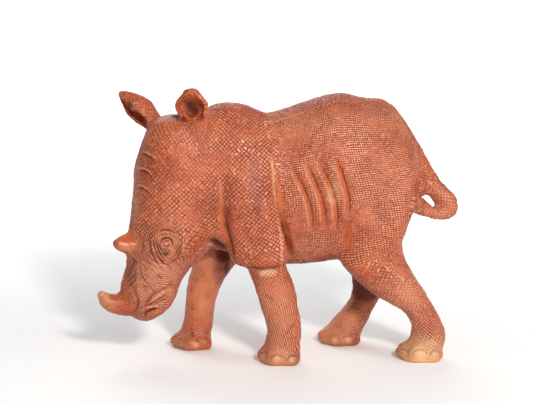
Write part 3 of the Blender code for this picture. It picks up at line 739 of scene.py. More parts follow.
def eased_line(points: Sequence[Sequence[float]], step: float) -> np.ndarray:
    """Close points along a smooth curve through the given ones.

    Args:
        points: rows of two or three coordinates.
        step: the gap between the points made, in the same unit.

    Returns:
        The points as rows.
    """
    given = np.array(points, float)
    if len(given) == 1:
        return given
    gaps = np.linalg.norm(np.diff(given, axis=0), axis=1)
    at = np.concatenate([[0], np.cumsum(gaps)])
    slopes = np.gradient(given, at, axis=0)
    made = []
    for along in np.linspace(0, at[-1], max(2, math.ceil(at[-1] / step) + 1)):
        i = min(int(np.searchsorted(at, along, side="right")) - 1, len(at) - 2)
        gap = at[i + 1] - at[i]
        t = (along - at[i]) / gap
        start = (2 * t**3 - 3 * t**2 + 1) * given[i] + (t**3 - 2 * t**2 + t) * gap * slopes[i]
        end = (3 * t**2 - 2 * t**3) * given[i + 1] + (t**3 - t**2) * gap * slopes[i + 1]
        made.append(start + end)
    return np.array(made)


def soft_noise(points: np.ndarray, size: float, seed: int) -> np.ndarray:
    """Smooth noise from -1 to 1 at each point.

    Args:
        points: rows in millimetres.
        size: the width of its blobs in millimetres.
        seed: moves the pattern.

    Returns:
        One value for each point.
    """
    shift = Vector([seed * part for part in SEED_SHIFT])
    return np.array([noise.noise(Vector(p) / size + shift) for p in points])


def uneven(points: np.ndarray, mean: float, *noises: tuple[float, float, int]) -> np.ndarray:
    """A mean with soft noises added, each by its strength, width of blob and seed."""
    return mean + sum(strength * soft_noise(points, size, seed) for strength, size, seed in noises)


@dataclass
class CarvedHide:
    """The whole figure as one carved skin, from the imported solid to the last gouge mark."""

    # The block: weld, voxel, softening passes, squares laid over it, and the layout's seed
    weld: float = 0.001
    voxel: float = 1.1
    softening: int = 6
    squares: int = 10700
    seed: int = 1
    # The net and the rows: how deep and how high, how uneven, and how many squares lack their cut
    net_depth: float = 0.42
    net_raise: float = 0.34
    row_depth: float = 0.30
    row_raise: float = 0.26
    net_spread: Span = (0.55, 1.1)
    groove_spread: Span = (0.85, 1.0)
    cut_spread: Span = (0.7, 1.05)
    top_spread: Span = (0.4, 1.1)
    level_from: Span = (0.75, 0.35)
    upright_cut: float = 0.75
    missed_share: float = 0.05
    # The rows' field: where flank and back begin, its wavy foot, its end at the tail, the bare ridge
    flank_front: float = -0.5
    flank_foot: float = 64
    flank_wave: float = 7
    flank_wave_long: float = 8
    back_front: float = -8
    back_foot: float = 155
    rows_end: float = 100
    ridge_half: float = 15
    # How ragged its front edge is, the noise's blob and seed, and the height where that sets in
    ragged: float = 9
    ragged_noise: tuple[float, int] = (7, 5)
    ragged_from: Span = (128, 140)
    # How far the hand strays slowly and at random, over how long a way, and the seeds of that
    hand_stray: float = 0.5
    hand_shake: float = 0.09
    hand_sway: float = 6
    hand_seeds: tuple[int, int, int] = (11, 12, 13)
    # Round the eye: smoothing passes, its reach, how much longer level distances count, and where
    # the bare eyeball, the net and the fine lines begin or end, in millimetres from it
    eye_passes: int = 60
    eye_reach: Place = (13, 12, 17)
    eye_edge: float = 0.7
    eye_narrow: float = 1.35
    eyeball: Span = (3.5, 5)
    eye_field: Span = (14, 10)
    round_eye: Span = (21, 17)
    # How much weaker the net is on the face, round the eye, on the fore legs and outside the rows
    face_share: float = 0.6
    face_loss: float = 0.75
    eye_loss: float = 0.9
    near_leg_loss: float = 0.6
    far_leg_loss: float = 0.9
    net_share: float = 0.85
    # Where a surface counts as facing a side, and the x that parts the legs for the fine lines
    side_facing: Span = (0.3, 0.65)
    hind_legs_x: float = 25
    far_fore_leg_x: float = -28
    # A cut: steps along it, its fading ends, and in shares of its width how far it reaches, clears
    # the net and tints the wood; which ends meet, and how alike two normals on one side are
    stroke_step: float = 0.4
    stroke_fade: float = 0.22
    cut_reach: float = 3
    cleared: float = 1.4
    tinted: Span = (1.3, 0.3)
    closed_gaps: int = 3
    same_side: Span = (-0.2, 0.4)
    outside: float = 200
    # Rings, nails, tuft, the bare wood round each horn, and how the skin is evened, the ears less
    ring_points: int = 33
    horn_darker: float = 0.25
    far_stray_share: float = 0.5
    nail_points: int = 15
    bare_share: float = 0.6
    nail_arch_deg: Span = (-20, 200)
    tuft_cuts: int = 8
    tuft_step_deg: float = 16
    horn_margin: float = 2.5
    horn_step: float = 2.0
    horn_edge: float = 0.8
    even_passes: int = 2
    even_share: float = 0.5
    ear_hold: float = 0.42
    # Where faces are halved for fine carving, and the share of a zone that is halved twice
    inner_zone: float = 0.85
    zones: tuple[Zone, ...] = (
        Zone((-79, -29, 82), (15, 12, 18), 2),
        Zone((-87, -25, 43), (12, 10, 13), 2),
        Zone((-88, 26, 84), (13, 12, 17), 1),
        Zone((-95, 20, 43), (12, 10, 12), 1),
        Zone((-93, -16, 130), (10, 14, 20), 1),
        Zone((-94, -20, 64), (16, 14, 16), 1),
        Zone((-61, -19, 176), (14, 12, 15), 2),
        Zone((-97, 13, 171), (15, 12, 14), 2),
        Zone((92, -24, 110), (14, 15, 12), 1),
        Zone((94, -33, 6), (17, 14, 8), 1),
        Zone((-4, -33, 5), (15, 14, 8), 1),
    )
    rng: np.random.Generator = field(default_factory=lambda: np.random.default_rng(20))

    def strokes(self) -> list[Stroke]:
        """Lists every cut, the repeated ones worked out by loops.

        Returns:
            The cuts in the order in which they are made.
        """
        made = [
            Stroke(line, width, height, flanks, tint, *rest)
            for flanks, cuts in ((NEAR, NEAR_CUTS), (FAR, FAR_CUTS), (BOTH, GROIN_CUTS))
            for line, width, height, tint, *rest in cuts
        ]
        made += [
            Stroke(line, width, height, BOTH, tint, amount, clears, True)
            for line, width, height, tint, amount, clears in FACE_CUTS
        ]
        for lines, (right, up), rest in ALIKE:
            made += [Stroke([(x + right, z + up) for x, z in line], *rest) for line in lines]
        made += [Stroke(line, *BRIDGE_CUT) for line in BRIDGE_WRINKLES]
        made += self.rings_round(NOSE_HORN, *NOSE_HORN_RINGS)
        made += self.rings_round(TAIL, *TAIL_RINGS)
        made += self.tuft() + self.ear_pits() + self.nails()
        return made + self.brow_notches() + self.muzzle_cuts() + self.stray_cuts()

    def rings_round(
        self, path: tuple, gap: float, width: float, height: float, on_head: bool
    ) -> list[Stroke]:
        """Cuts across a horn or the tail.

        Args:
            path: x, y, z and radius along it.
            gap: the distance between two cuts in millimetres.
            width: of each cut.
            height: of each cut, below 0.
            on_head: whether the path turns with the head.

        Returns:
            The cuts, each a ring of points near the surface.
        """
        line = eased_line(path, gap)
        darker = self.horn_darker if on_head else 0.0
        made = []
        for before, at, after in zip(line, line[1:], line[2:]):
            along = Vector(after[:3] - before[:3]).normalized()
            side = along.cross(Vector((0, 1, 0))).normalized()
            other = along.cross(side)
            ring = [
                Vector(at[:3]) + (side * math.cos(t) + other * math.sin(t)) * at[3]
                for t in np.linspace(0, math.tau, self.ring_points)
            ]
            if on_head:
                ring = [turned(point) for point in ring]
            depth, amount = (self.rng.uniform(*RING_RANGES[name]) for name in ("depth", "amount"))
            made.append(Stroke(ring, width, height * depth, NEAR, Tint.SHADE, amount + darker, 0.0))
        return made

    def tuft(self) -> list[Stroke]:
        """Cuts that fan out over the tail's tuft where it lies on the haunch.

        Returns:
            The cuts, dark and light ones in turn.
        """
        made = []
        root_x, root_z = TUFT_ROOT
        for i in range(self.tuft_cuts):
            for first, width, height, tint in TUFT_PAIR:
                turn = math.radians(first + self.tuft_step_deg * i)
                side, up = math.cos(turn), math.sin(turn)
                far, bow = (self.rng.uniform(*TUFT_RANGES[name]) for name in ("far", "bow"))
                # From the root out: where a cut starts, bends and ends, in millimetres
                line = (
                    (root_x + 2 * side, root_z + 2 * up),
                    (root_x + 8 * far * side, root_z + 1 + bow + 7 * far * up),
                    (root_x + 14 * far * side, root_z + 2 + 11 * far * up),
                )
                amount = self.rng.uniform(*TUFT_RANGES["amount"])
                made.append(Stroke(line, width * far, height, NEAR, tint, amount, 0.8))
        return made

    def ear_pits(self) -> list[Stroke]:
        """Small punched pits all over the ears.

        Returns:
            The pits, each of a single point.
        """
        made = []
        for middle, reach in EAR_HOLLOWS:
            for _ in range(EAR_PITS["count"]):
                spot = tuple(np.array(middle) + self.rng.uniform(-1, 1, 3) * reach)
                width = self.rng.uniform(*EAR_PITS["width"])
                made.append(Stroke((spot,), width, *EAR_PIT))
        return made

    def nails(self) -> list[Stroke]:
        """Outlines each nail with a cut and lays it bare and pale.

        Returns:
            A cut and a bare spot for each nail.
        """
        made = []
        for middle, facing, half_wide, half_high in NAILS:
            side = Vector(facing).normalized().cross(Vector((0, 0, 1))).normalized()
            arch = [
                Vector(middle) + side * half_wide * math.cos(t) + Vector((0, 0, half_high * math.sin(t)))
                for t in np.linspace(*map(math.radians, self.nail_arch_deg), self.nail_points)
            ]
            made.append(Stroke(arch, *NAIL_CUT))
            made.append(Stroke((middle,), half_wide * self.bare_share, *BARE_NAIL))
        return made

    def brow_notches(self) -> list[Stroke]:
        """Short level cuts down the front edge of the head and bridge.

        Returns:
            The cuts from the bridge up to the crown.
        """
        made = []
        z, top = BROW_NOTCHES["z"]
        while z < top:
            z += self.rng.uniform(*BROW_NOTCHES["gap"])
            tilt, end = (self.rng.uniform(*BROW_NOTCHES[span]) for span in ("tilt", "end"))
            notch = [turned(Vector((BROW_NOTCH_X, y, z + tilt * y / 10))) for y in (end, *BROW_NOTCH_Y)]
            made.append(Stroke(notch, *NOTCH_CUT))
        return made

    def muzzle_cuts(self) -> list[Stroke]:
        """Short slanting cuts between the eye and the muzzle.

        Returns:
            The cuts, on both cheeks.
        """
        made = []
        for _ in range(MUZZLE_CUTS["count"]):
            spans = (MUZZLE_CUTS[name] for name in ("x", "z", "rise", "half"))
            x, z, rise, half = (self.rng.uniform(*span) for span in spans)
            right, up = half * math.cos(math.radians(rise)), half * math.sin(math.radians(rise))
            line, amount = ((x - right, z - up), (x + right, z + up)), self.rng.uniform(*MUZZLE_AMOUNT)
            made.append(Stroke(line, 0.5, -0.35, BOTH, Tint.SHADE, amount, 0.2, True))
        return made

    def stray_cuts(self) -> list[Stroke]:
        """Longer slanting cuts that break the even net, as a hand leaves them.

        Returns:
            The cuts, half of them on the near flank alone.
        """
        made = []
        for _ in range(STRAY_CUTS["count"]):
            x, z = (self.rng.uniform(*STRAY_CUTS[span]) for span in ("x", "z"))
            rise = math.radians(self.rng.choice(STRAY_RISES) + self.rng.uniform(*STRAY_CUTS["rise"]))
            half, bow = self.rng.uniform(*STRAY_CUTS["half"]), self.rng.uniform(*STRAY_BOW)
            right, up = half * math.cos(rise), half * math.sin(rise)
            line = ((x - right, z - up), (x + bow, z), (x + right, z + up))
            flanks = BOTH if self.rng.random() < self.far_stray_share else NEAR
            made.append(Stroke(line, 0.6, -0.4, flanks, Tint.SHADE, 0.45, 0.1))
        return made

    def block(self, solid: bpy.types.Object) -> bpy.types.Mesh:
        """Relays the solid's skin with even small faces and softens its facets.

        Args:
            solid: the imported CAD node.

        Returns:
            A dense smooth mesh.
        """
        shape = bmesh.new()
        shape.from_mesh(solid.data)
        bmesh.ops.remove_doubles(shape, verts=shape.verts, dist=self.weld * MM)
        welded = bpy.data.meshes.new("welded")
        shape.to_mesh(welded)
        shape.free()
        holder = placed("block", welded)
        remesh = holder.modifiers.new("even skin", "REMESH")
        remesh.mode = "VOXEL"
        remesh.voxel_size = self.voxel * MM
        bpy.context.view_layer.update()
        graph = bpy.context.evaluated_depsgraph_get()
        mesh = bpy.data.meshes.new_from_object(holder.evaluated_get(graph))
        bpy.data.objects.remove(holder)
        points = relaxed(rows(mesh), edge_ends(mesh), self.softening)
        mesh.vertices.foreach_set("co", points.ravel())
        mesh.update()
        return mesh

    def squared(self, block: bpy.types.Mesh) -> bpy.types.Mesh:
        """Covers the block with even squares that follow its form.

        Args:
            block: the dense smooth mesh.

        Returns:
            The mesh of squares.
        """
        holder = placed("squares", block.copy())
        bpy.context.view_layer.objects.active = holder
        holder.select_set(True)
        bpy.ops.object.quadriflow_remesh(
            use_mesh_symmetry=False, use_preserve_sharp=False, use_preserve_boundary=False,
            preserve_attributes=False, smooth_normals=False, mode="FACES",
            target_faces=self.squares, seed=self.seed,
        )
        mesh = holder.data
        bpy.data.objects.remove(holder)
        return mesh

    def mask(self, points: np.ndarray, sideways: np.ndarray) -> np.ndarray:
        """Works out how strong the net of gouge marks is.

        Args:
            points: where, rows in millimetres.
            sideways: how far the surface faces a side there, from 0 to 1.

        Returns:
            The strength at each point, from 0 to about 1.
        """
        strength = np.ones(len(points))
        for region, loss in WEAKER:
            strength *= 1 - loss * region.share(points)
        strength *= 1 - self.face_loss * self.face(points) * sideways
        strength *= 1 - self.eye_loss * smooth_step(self.from_eye(points), *self.eye_field)
        leg_loss = np.where(points[:, Y] > 0, self.far_leg_loss, self.near_leg_loss)
        strength *= 1 - leg_loss * FORE_LEGS.share(points) * sideways
        strength *= uneven(points, *NET_UNEVEN)
        return np.clip(strength, 0, 1) * np.where(self.in_rows(points), 1, self.net_share)

    def from_eye(self, points: np.ndarray) -> np.ndarray:
        """The distance from the eye on either cheek in millimetres, longer in level directions."""
        eye_x = EYE[0] - CHEEK_SHIFT * (points[:, Y] > 0)
        return np.hypot(self.eye_narrow * (points[:, X] - eye_x), points[:, Z] - EYE[1])

    def face(self, points: np.ndarray) -> np.ndarray:
        """How far points belong to cheek and muzzle, from 0 to 1, the eye's own rings left out."""
        return np.maximum(MUZZLE.share(points), self.face_share * BESIDE_BRIDGE.share(points))

    def fine_lines(self, points: np.ndarray, sideways: np.ndarray) -> tuple[np.ndarray, np.ndarray]:
        """Lays out the lines that are too fine for the mesh, on what faces a side.

        Args:
            points: where, rows in millimetres.
            sideways: how far the surface faces a side there, from 0 to 1.

        Returns:
            The distance across the lines in millimetres, and their strength from 0 to 1.
        """
        from_eye = self.from_eye(points)
        round_eye = self.face_share * smooth_step(from_eye, *self.round_eye) * CHEEK.share(points)
        face = np.maximum(self.face(points), round_eye) * smooth_step(from_eye, *self.eyeball)
        x, z = points[:, X], points[:, Z]
        hind, far_fore, near_fore = (right * x + up * z for right, up in LEG_SLANTS)
        slant = np.where(x < self.far_fore_leg_x, far_fore, near_fore)
        slant = np.where(x > self.hind_legs_x, hind, slant)
        across = np.where(face > 0, from_eye, slant)
        face *= uneven(points, *FACE_UNEVEN)
        leg = LINED_LEGS.share(points) * uneven(points, *LEG_UNEVEN)
        return across, np.clip(np.maximum(face, leg) * sideways, 0, 1)

    def unsteady(self, points: np.ndarray) -> np.ndarray:
        """How far a hand strays from even cuts at points, in millimetres."""
        slow = np.array([soft_noise(points, self.hand_sway, seed) for seed in self.hand_seeds]).T
        return self.hand_stray * slow + self.rng.normal(0, self.hand_shake, points.shape)

    def in_rows(self, points: np.ndarray) -> np.ndarray:
        """Whether the marks at points are fine rows, as on flank, haunch and back, not a net.

        Args:
            points: where, rows in millimetres.

        Returns:
            True or false for each point.
        """
        x, y, z = points.T
        ragged = self.ragged * soft_noise(points, *self.ragged_noise) * smooth_step(z, *self.ragged_from)
        foot = self.flank_foot + self.flank_wave * np.sin(x / self.flank_wave_long)
        flank = (x > ragged + self.flank_front) & (z > foot)
        back = (z > self.back_foot + ragged) & (x > ragged + self.back_front)
        return (flank | back) & (x < self.rows_end) & (np.abs(y) > self.ridge_half)

    def netted(self, squares: bpy.types.Mesh) -> tuple[np.ndarray, list, np.ndarray, np.ndarray]:
        """Halves each square; rims' corners and middles lie low, so slanting lines join them.

        Args:
            squares: the mesh of even squares.

        Returns:
            Points, four-cornered faces, and each point's height and share of groove.
        """
        corners, ends = rows(squares), edge_ends(squares)
        vertex_of, edge_of = read(squares.loops, "vertex_index"), read(squares.loops, "edge_index")
        starts, totals = (read(squares.polygons, name) for name in ("loop_start", "loop_total"))
        owner = np.repeat(np.arange(len(starts)), totals)
        before = np.arange(len(owner)) - 1
        before[starts] = starts + totals - 1
        middles = corners[ends].mean(axis=1)
        centres = np.array([np.bincount(owner, corners[vertex_of, a]) / totals for a in range(3)]).T
        points = np.concatenate([corners, middles, centres])
        first_centre = len(corners) + len(middles)
        faces = np.stack([
            vertex_of, len(corners) + edge_of, first_centre + owner, len(corners) + edge_of[before],
        ], axis=1)
        high = np.zeros(len(points), bool)
        high[len(corners):first_centre] = True
        jitter = self.rng.uniform(*self.net_spread, len(points))
        height = np.where(high, self.net_raise, -self.net_depth) * jitter
        groove = np.where(high, 0, self.rng.uniform(*self.groove_spread, len(points)))
        return points, faces, height, groove

    def marked(self, squares: bpy.types.Mesh) -> bpy.types.Mesh:
        """Gives the surface its net of slanting cuts and, where they are finer, rows of cuts.

        Args:
            squares: the mesh of even squares.

        Returns:
            The finer mesh with the attributes HEIGHT and GROOVE.
        """
        points, faces, height, groove = self.netted(squares)
        rowed = self.in_rows(points[faces].mean(axis=1) / MM)
        sides = np.sort(np.stack([faces, np.roll(faces, -1, axis=1)], axis=2).reshape(-1, 2), axis=1)
        split_sides, side_of = np.unique(sides, axis=0, return_inverse=True)
        side_of = side_of.reshape(-1, 4)
        is_split = np.zeros(len(split_sides), bool)
        is_split[side_of[rowed].ravel()] = True
        new_of_side = np.where(is_split, len(points) + np.cumsum(is_split) - 1, -1)
        side_middles = points[split_sides[is_split]].mean(axis=1)
        first_centre = len(points) + len(side_middles)
        centre_of = np.where(rowed, first_centre + np.cumsum(rowed) - 1, -1)
        face_centres = points[faces[rowed]].mean(axis=1)

        low_rows = np.zeros(len(points), bool)
        low_rows[faces[rowed].ravel()] = True
        low_rows[faces[~rowed].ravel()] = False
        height[low_rows] = -self.row_depth
        groove[low_rows] = 1.0

        along = points[split_sides[is_split][:, 1]] - points[split_sides[is_split][:, 0]]
        along /= np.linalg.norm(along, axis=1)[:, None]
        level = smooth_step(np.abs(along[:, Z]), *self.level_from)
        cut = self.upright_cut + (1 - self.upright_cut) * level
        cut *= self.rng.uniform(*self.cut_spread, len(side_middles))
        top = self.rng.uniform(*self.top_spread, len(face_centres))
        everything = np.concatenate([points, side_middles, face_centres])
        height = np.concatenate([height, -self.row_depth * cut, self.row_raise * top])
        groove = np.concatenate([groove, cut, np.zeros(len(top))])

        made = []
        missed = self.rng.random(len(faces)) < self.missed_share
        for number, face in enumerate(faces.tolist()):
            cuts = new_of_side[side_of[number]].tolist()
            if rowed[number]:
                centre = int(centre_of[number])
                made += [(face[i], cuts[i], centre, cuts[i - 1]) for i in range(4)]
            elif max(cuts) >= 0:
                made.append([corner for pair in zip(face, cuts) for corner in pair if corner >= 0])
            elif missed[number]:
                made += [(face[0], face[1], face[3]), (face[1], face[2], face[3])]
            else:
                made += [(face[0], face[1], face[2]), (face[0], face[2], face[3])]
        mesh = bpy.data.meshes.new("marked")
        mesh.from_pydata(everything, [], made)
        write_masks(mesh, {HEIGHT: height, GROOVE: groove})
        return mesh

    def refined(self, mesh: bpy.types.Mesh) -> bpy.types.Mesh:
        """Halves the faces in each zone of fine carving, as often as the zone asks.

        Args:
            mesh: the marked mesh.

        Returns:
            The finer mesh.
        """
        shape = bmesh.new()
        shape.from_mesh(mesh)
        for turn in range(max(zone.halvings for zone in self.zones)):
            centres = np.array([face.calc_center_median() for face in shape.faces]) / MM
            picked = np.zeros(len(centres), bool)
            for zone in self.zones:
                if zone.halvings > turn:
                    reach = np.array(zone.reach) * (self.inner_zone if turn else 1)
                    picked |= (((centres - zone.middle) / reach) ** 2).sum(axis=1) < 1
            shape.faces.ensure_lookup_table()
            shape.edges.index_update()
            edges = {edge for i in np.nonzero(picked)[0] for edge in shape.faces[i].edges}
            edges = sorted(edges, key=lambda edge: edge.index)
            bmesh.ops.subdivide_edges(shape, edges=edges, cuts=1, use_grid_fill=True)
        fine = bpy.data.meshes.new("hide")
        shape.to_mesh(fine)
        shape.free()
        return fine

    def thrown(self, stroke: Stroke, flank: Flank, block: BVHTree) -> tuple[np.ndarray, np.ndarray]:
        """Lays a stroke's line on the surface.

        Args:
            stroke: the cut, with points x, z or x, y, z.
            flank: which side an x, z line is drawn on.
            block: the surface.

        Returns:
            The points reached and the surface's normals there, rows in millimetres.
        """
        hits, normals = [], []
        flat = len(stroke.points[0]) == 2
        for point in eased_line(stroke.points, self.stroke_step):
            if flat:
                x, z = point
                if stroke.head and flank is Flank.FAR:
                    x -= CHEEK_SHIFT
                start = Vector((x, flank.value * self.outside, z)) * MM
                place, normal, _, _ = block.ray_cast(start, Vector((0, -flank.value, 0)))
            else:
                place, normal, _, _ = block.find_nearest(Vector(point) * MM)
            if place is not None:
                hits.append(np.array(place) / MM)
                normals.append(np.array(normal))
        return np.array(hits), np.array(normals)

    def cut(self, hide: Hide, line: np.ndarray, normals: np.ndarray, stroke: Stroke) -> None:
        """Cuts or raises the hide along a line and lays its tint.

        Args:
            hide: the surface being carved.
            line: points along the cut in millimetres.
            normals: the surface's normals there.
            stroke: width, height and tint.
        """
        if not len(line):
            return
        reach = self.cut_reach * stroke.width
        low, high = line.min(axis=0) - reach, line.max(axis=0) + reach
        picked = np.nonzero(((hide.spots > low) & (hide.spots < high)).all(axis=1))[0]
        if not len(picked):
            return
        gaps = np.linalg.norm(hide.spots[picked][:, None] - line[None], axis=2)
        nearest, gap = gaps.argmin(axis=1), gaps.min(axis=1)
        share = nearest / max(len(line) - 1, 1)
        closed = len(line) == 1 or np.linalg.norm(line[0] - line[-1]) < self.closed_gaps * self.stroke_step
        fade = 1.0 if closed else np.clip(np.minimum(share, 1 - share) / self.stroke_fade, 0, 1)
        facing = smooth_step((hide.normals[picked] * normals[nearest]).sum(axis=1), *self.same_side)
        weight = np.exp(-((gap / stroke.width) ** 2)) * fade * facing
        hide.lift[picked] += stroke.height * weight
        wide = stroke.clears * np.exp(-((gap / (self.cleared * stroke.width)) ** 2)) * fade * facing
        hide.marks[picked] *= 1 - wide
        hide.clear[picked] *= 1 - wide
        if stroke.tint is not None:
            layer = hide.tints[stroke.tint]
            flat = smooth_step(gap, *(share * stroke.width for share in self.tinted)) * fade * facing
            layer[picked] = np.maximum(layer[picked], stroke.amount * flat)

    def patch(self, hide: Hide, spot: Patch) -> None:
        """Lays a soft patch of tint, or clears the gouge marks there.

        Args:
            hide: the surface being carved.
            spot: the patch.
        """
        share = spot.amount * within(hide.spots, spot.middle, spot.reach, spot.edge)
        if spot.tint is None:
            hide.marks *= 1 - share
            hide.clear *= 1 - share
        else:
            hide.tints[spot.tint] = np.maximum(hide.tints[spot.tint], share)

    def build(self, solid: bpy.types.Object) -> bpy.types.Object:
        """Carves the figure.

        Args:
            solid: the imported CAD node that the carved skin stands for.

        Returns:
            The carved figure in the frame.
        """
        block = self.block(solid)
        squares = self.squared(block)
        log.info("block of %d faces, %d squares", len(block.polygons), len(squares.polygons))
        surface = BVHTree.FromPolygons(rows(block).tolist(), [tuple(p.vertices) for p in block.polygons])
        mesh = self.refined(self.marked(squares))
        points = np.array([surface.find_nearest(Vector(point))[0] for point in rows(mesh)])
        ends = edge_ends(mesh)
        even = self.even_share - self.ear_hold * THIN_EARS.share(points / MM)
        points = relaxed(points, ends, self.even_passes, even)
        points += self.unsteady(points / MM) * MM
        reach, edge = self.eye_reach, self.eye_edge
        near_eyes = [within(points / MM, middle, reach, edge) for middle in EYE_MIDDLES]
        points = relaxed(points, ends, self.eye_passes, self.even_share * np.max(near_eyes, axis=0))
        mesh.vertices.foreach_set("co", points.ravel())
        mesh.update()
        hide = Hide.of(mesh)
        sideways = smooth_step(np.abs(hide.normals[:, Y]), *self.side_facing)
        hide.marks *= self.mask(hide.spots, sideways)
        hide.lines, hide.lined = self.fine_lines(hide.spots, sideways)
        for horn, base_x in ((NOSE_HORN, NOSE_HORN_BASE), (BROW_HORN, BROW_HORN_BASE)):
            for x, y, z, radius in eased_line(horn, self.horn_step):
                if x <= base_x:
                    middle = tuple(turned(Vector((x - self.horn_step / 2, y, z))))
                    reach = (radius + self.horn_margin,) * 3
                    self.patch(hide, Patch(middle, reach, None, 1.0, self.horn_edge))
        for tint, spots in PATCHES.items():
            for middle, reach, *rest in spots:
                self.patch(hide, Patch(middle, reach, tint, *rest))
        for stroke in self.strokes():
            for flank in stroke.flanks:
                hits, normals = self.thrown(stroke, flank, surface)
                self.cut(hide, hits, normals, stroke)
        hide.carve(mesh)
        mesh.shade_smooth()
        figure = placed("carved_rhinoceros", mesh)
        log.info("hide: %d triangles", sum(len(p.vertices) - 2 for p in mesh.polygons))
        return figure


@dataclass
class Hide:
    """The figure's surface as arrays, in millimetres, while it is being carved."""

    spots: np.ndarray
    normals: np.ndarray
    lift: np.ndarray
    marks: np.ndarray
    height: np.ndarray
    lines: np.ndarray
    lined: np.ndarray
    clear: np.ndarray
    tints: dict[Tint, np.ndarray]

    @classmethod
    def of(cls, mesh: bpy.types.Mesh) -> Hide:
        """Reads the marked mesh.

        Args:
            mesh: with the attribute HEIGHT.

        Returns:
            The hide before its first cut.
        """
        count = len(mesh.vertices)
        return cls(
            spots=rows(mesh) / MM, normals=read(mesh.vertex_normals, "vector", 3, np.float32),
            lift=np.zeros(count), marks=np.ones(count),
            height=read(mesh.attributes[HEIGHT].data, "value", kind=np.float32),
            lines=np.zeros(count), lined=np.zeros(count), clear=np.ones(count),
            tints={tint: np.zeros(count) for tint in Tint},
        )

    def carve(self, mesh: bpy.types.Mesh) -> None:
        """Moves the mesh's points and writes the masks that the finish reads.

        Args:
            mesh: the mesh that the hide was read from.
        """
        lift = self.lift + self.height * self.marks
        points = self.spots + self.normals * lift[:, None]
        points[:, 2] = np.maximum(points[:, 2], 0)
        mesh.vertices.foreach_set("co", (points * MM).ravel())
        mesh.attributes.remove(mesh.attributes[HEIGHT])
        masks = {MARKS: self.marks, LINES: self.lines, LINED: self.lined * np.minimum(self.clear, 1)}
        write_masks(mesh, masks | {tint.value: values for tint, values in self.tints.items()})
        mesh.update()


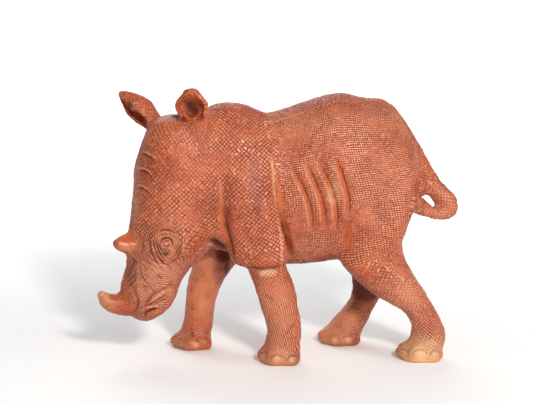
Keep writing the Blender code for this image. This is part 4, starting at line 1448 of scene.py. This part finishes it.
@dataclass
class WoodFinish:
    """Dresses the hide in the oiled hardwood; sizes in millimetres.

    Real fibres and pores are 0.1 to 0.2 mm wide and would vanish at a pixel of 0.7 mm, so fibres,
    flecks and chips are drawn coarser, as wide as they need to be to show.
    """

    wood: OiledHardwood = field(default_factory=OiledHardwood)
    fibre_wide: float = 0.9
    fibre_long: float = 9.0
    cloud: float = 24.0
    fleck: float = 1.5
    chip: float = 3.4
    line_gap: float = 1.4
    line_wander: float = 10.0
    wander_gaps: float = 2.6
    rough_base: float = 0.3

    def build(self) -> bpy.types.Material:
        """Makes the material.

        Returns:
            Oiled red hardwood: a warm orange brown, darker in the cuts with painted shade.
        """
        material = bpy.data.materials.new("oiled red hardwood, gouge carved")
        material.use_nodes = True
        wood, tree = self.wood, material.node_tree
        add = partial(node, tree)
        place = add("TexCoord").outputs["Object"]
        long, wide = 1 / (self.fibre_long * MM), 1 / (self.fibre_wide * MM)
        grain = add("Mapping", {"Vector": place, "Scale": (long, wide, wide)})
        fibre = add("TexNoise", {"Vector": grain, "Scale": 1.0, "Detail": 3.0})
        sizes = ((self.cloud, 4.0), (self.fleck, 2.0), (self.chip, 1.0), (self.line_wander, 1.0))
        cloud, fleck, chip, wander = (
            add("TexNoise", {"Vector": place, "Scale": 1 / (size * MM), "Detail": detail})
            for size, detail in sizes
        )
        masks = {
            name: add("Attribute", attribute_name=name).outputs["Fac"]
            for name in [GROOVE, MARKS, LINES, LINED] + [tint.value for tint in Tint]
        }
        bend = self.wander_gaps * self.line_gap
        bent = add("Math", {0: wander, 1: bend, 2: masks[LINES]}, operation="MULTIPLY_ADD")
        turns = add("Math", {0: bent, 1: math.tau / self.line_gap}, operation="MULTIPLY")
        wave = add("Math", {0: turns}, operation="SINE")
        valley, ridge, rim, top = (
            add("MapRange", {"Value": share, "From Min": low, "From Max": high},
                interpolation_type="SMOOTHSTEP")
            for share, low, high in (
                (wave, 0.1, 0.95), (wave, -0.2, -1.0),
                (masks[GROOVE], 0.52, 0.96), (masks[GROOVE], 0.7, 0.1),
            )
        )
        cut_wood = add("Math", {0: masks[MARKS], 1: masks[LINED]}, operation="MAXIMUM")
        least = self.rough_base
        rough = add("Math", {0: cut_wood, 1: 1 - least, 2: least}, operation="MULTIPLY_ADD")
        # Light flecks are painted glints; dark flecks are a random speckle of the wood
        light, dark = (
            add("MapRange", {"Value": fleck, "From Min": low, "From Max": high})
            for low, high in ((0.46, 0.30), (0.52, 0.72))
        )
        fine_cut, fine_top, cut, wear_and_highlight, light, dark = (
            add("Math", {0: share, 1: where}, operation="MULTIPLY")
            for share, where in (
                (valley, masks[LINED]), (ridge, masks[LINED]), (rim, masks[MARKS]), (top, masks[MARKS]),
                (light, rough), (dark, rough),
            )
        )
        # The tops between the cuts are lighter, partly wear and partly painted highlight, in patches
        patchy_tops = add("MapRange", {"Value": cloud, "From Min": 0.38, "From Max": 0.62, "To Min": 0.45})
        wear_and_highlight = add("Math", {0: wear_and_highlight, 1: patchy_tops}, operation="MULTIPLY")
        # What is laid over the body one after another: where, from and to which value, how much.
        # Cuts, fine cuts, shade and the deepest dark are painted shade; the lighter tops, fine tops and
        # light flecks are painted highlight, the tops partly wear; grey, crest, glow and pale carry
        # painted light and shade in places; cloud, chips and fibres are the wood's own tone.
        layers = (
            (cloud, 0.55, 0.30, 1.0, wood.deep), (chip, 0.52, 0.72, 0.5, wood.deep),
            (fibre, 0.45, 0.75, 0.35, wood.deep), (wear_and_highlight, 0, 1, 0.8, wood.crest),
            (fine_top, 0, 1, 0.75, wood.crest), (light, 0, 1, 0.62, wood.crest),
            (dark, 0, 1, 0.6, wood.groove), (masks["grey"], 0, 1, 1, wood.grey),
            (masks["pale"], 0, 1, 1, wood.pale), (masks["crest"], 0, 1, 1, wood.crest),
            (masks["glow"], 0, 1, 1, wood.glow), (cut, 0, 1, 0.95, wood.groove),
            (fine_cut, 0, 1, 0.9, wood.groove), (masks["shade"], 0, 1, 1, wood.groove),
            (masks["deep_shade"], 0, 1, 1, wood.deep_shade),
        )
        colour = wood.body
        for share, low, high, most, over in layers:
            laid = add("MapRange", {"Value": share, "From Min": low, "From Max": high, "To Max": most})
            colour = add("MixRGB", {"Fac": laid, "Color1": colour, "Color2": over})
        # Flecks stand up a little, cuts and fine cuts lie deep: share, strength, depth and sunk or not
        normal = None
        for share, strength, deep, sunk in (
            (fleck, 0.55, 0.3, False), (cut, 0.9, 0.35, True), (fine_cut, 0.9, 0.35, True),
        ):
            links = {"Strength": strength, "Distance": deep * MM, "Height": share}
            normal = add("Bump", links | ({"Normal": normal} if normal else {}), invert=sunk)
        shader = tree.nodes["Principled BSDF"]
        tree.links.new(colour.outputs["Color"], shader.inputs["Base Color"])
        tree.links.new(normal.outputs["Normal"], shader.inputs["Normal"])
        sheen = {"To Min": wood.roughness, "To Max": wood.rubbed_roughness}
        gloss = add("MapRange", {"Value": wear_and_highlight} | sheen)
        # Where deep shade is painted the wood is left rough, without shine
        dull = add("Math", {0: gloss, 1: masks["deep_shade"]}, operation="MAXIMUM")
        tree.links.new(dull.outputs[0], shader.inputs["Roughness"])
        shader.inputs["IOR"].default_value = wood.ior
        shader.inputs["Specular IOR Level"].default_value = wood.specular
        return material


def main() -> None:
    """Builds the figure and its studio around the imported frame."""
    logging.basicConfig(level=logging.INFO, format="%(message)s")
    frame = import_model()
    solid = frame["nodes"][NODE]
    figure = CarvedHide().build(solid)
    figure.data.materials.clear()
    figure.data.materials.append(WoodFinish().build())
    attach(figure, "root")
    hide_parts(NODE)
    Studio().build()


if __name__ == "__main__":
    main()
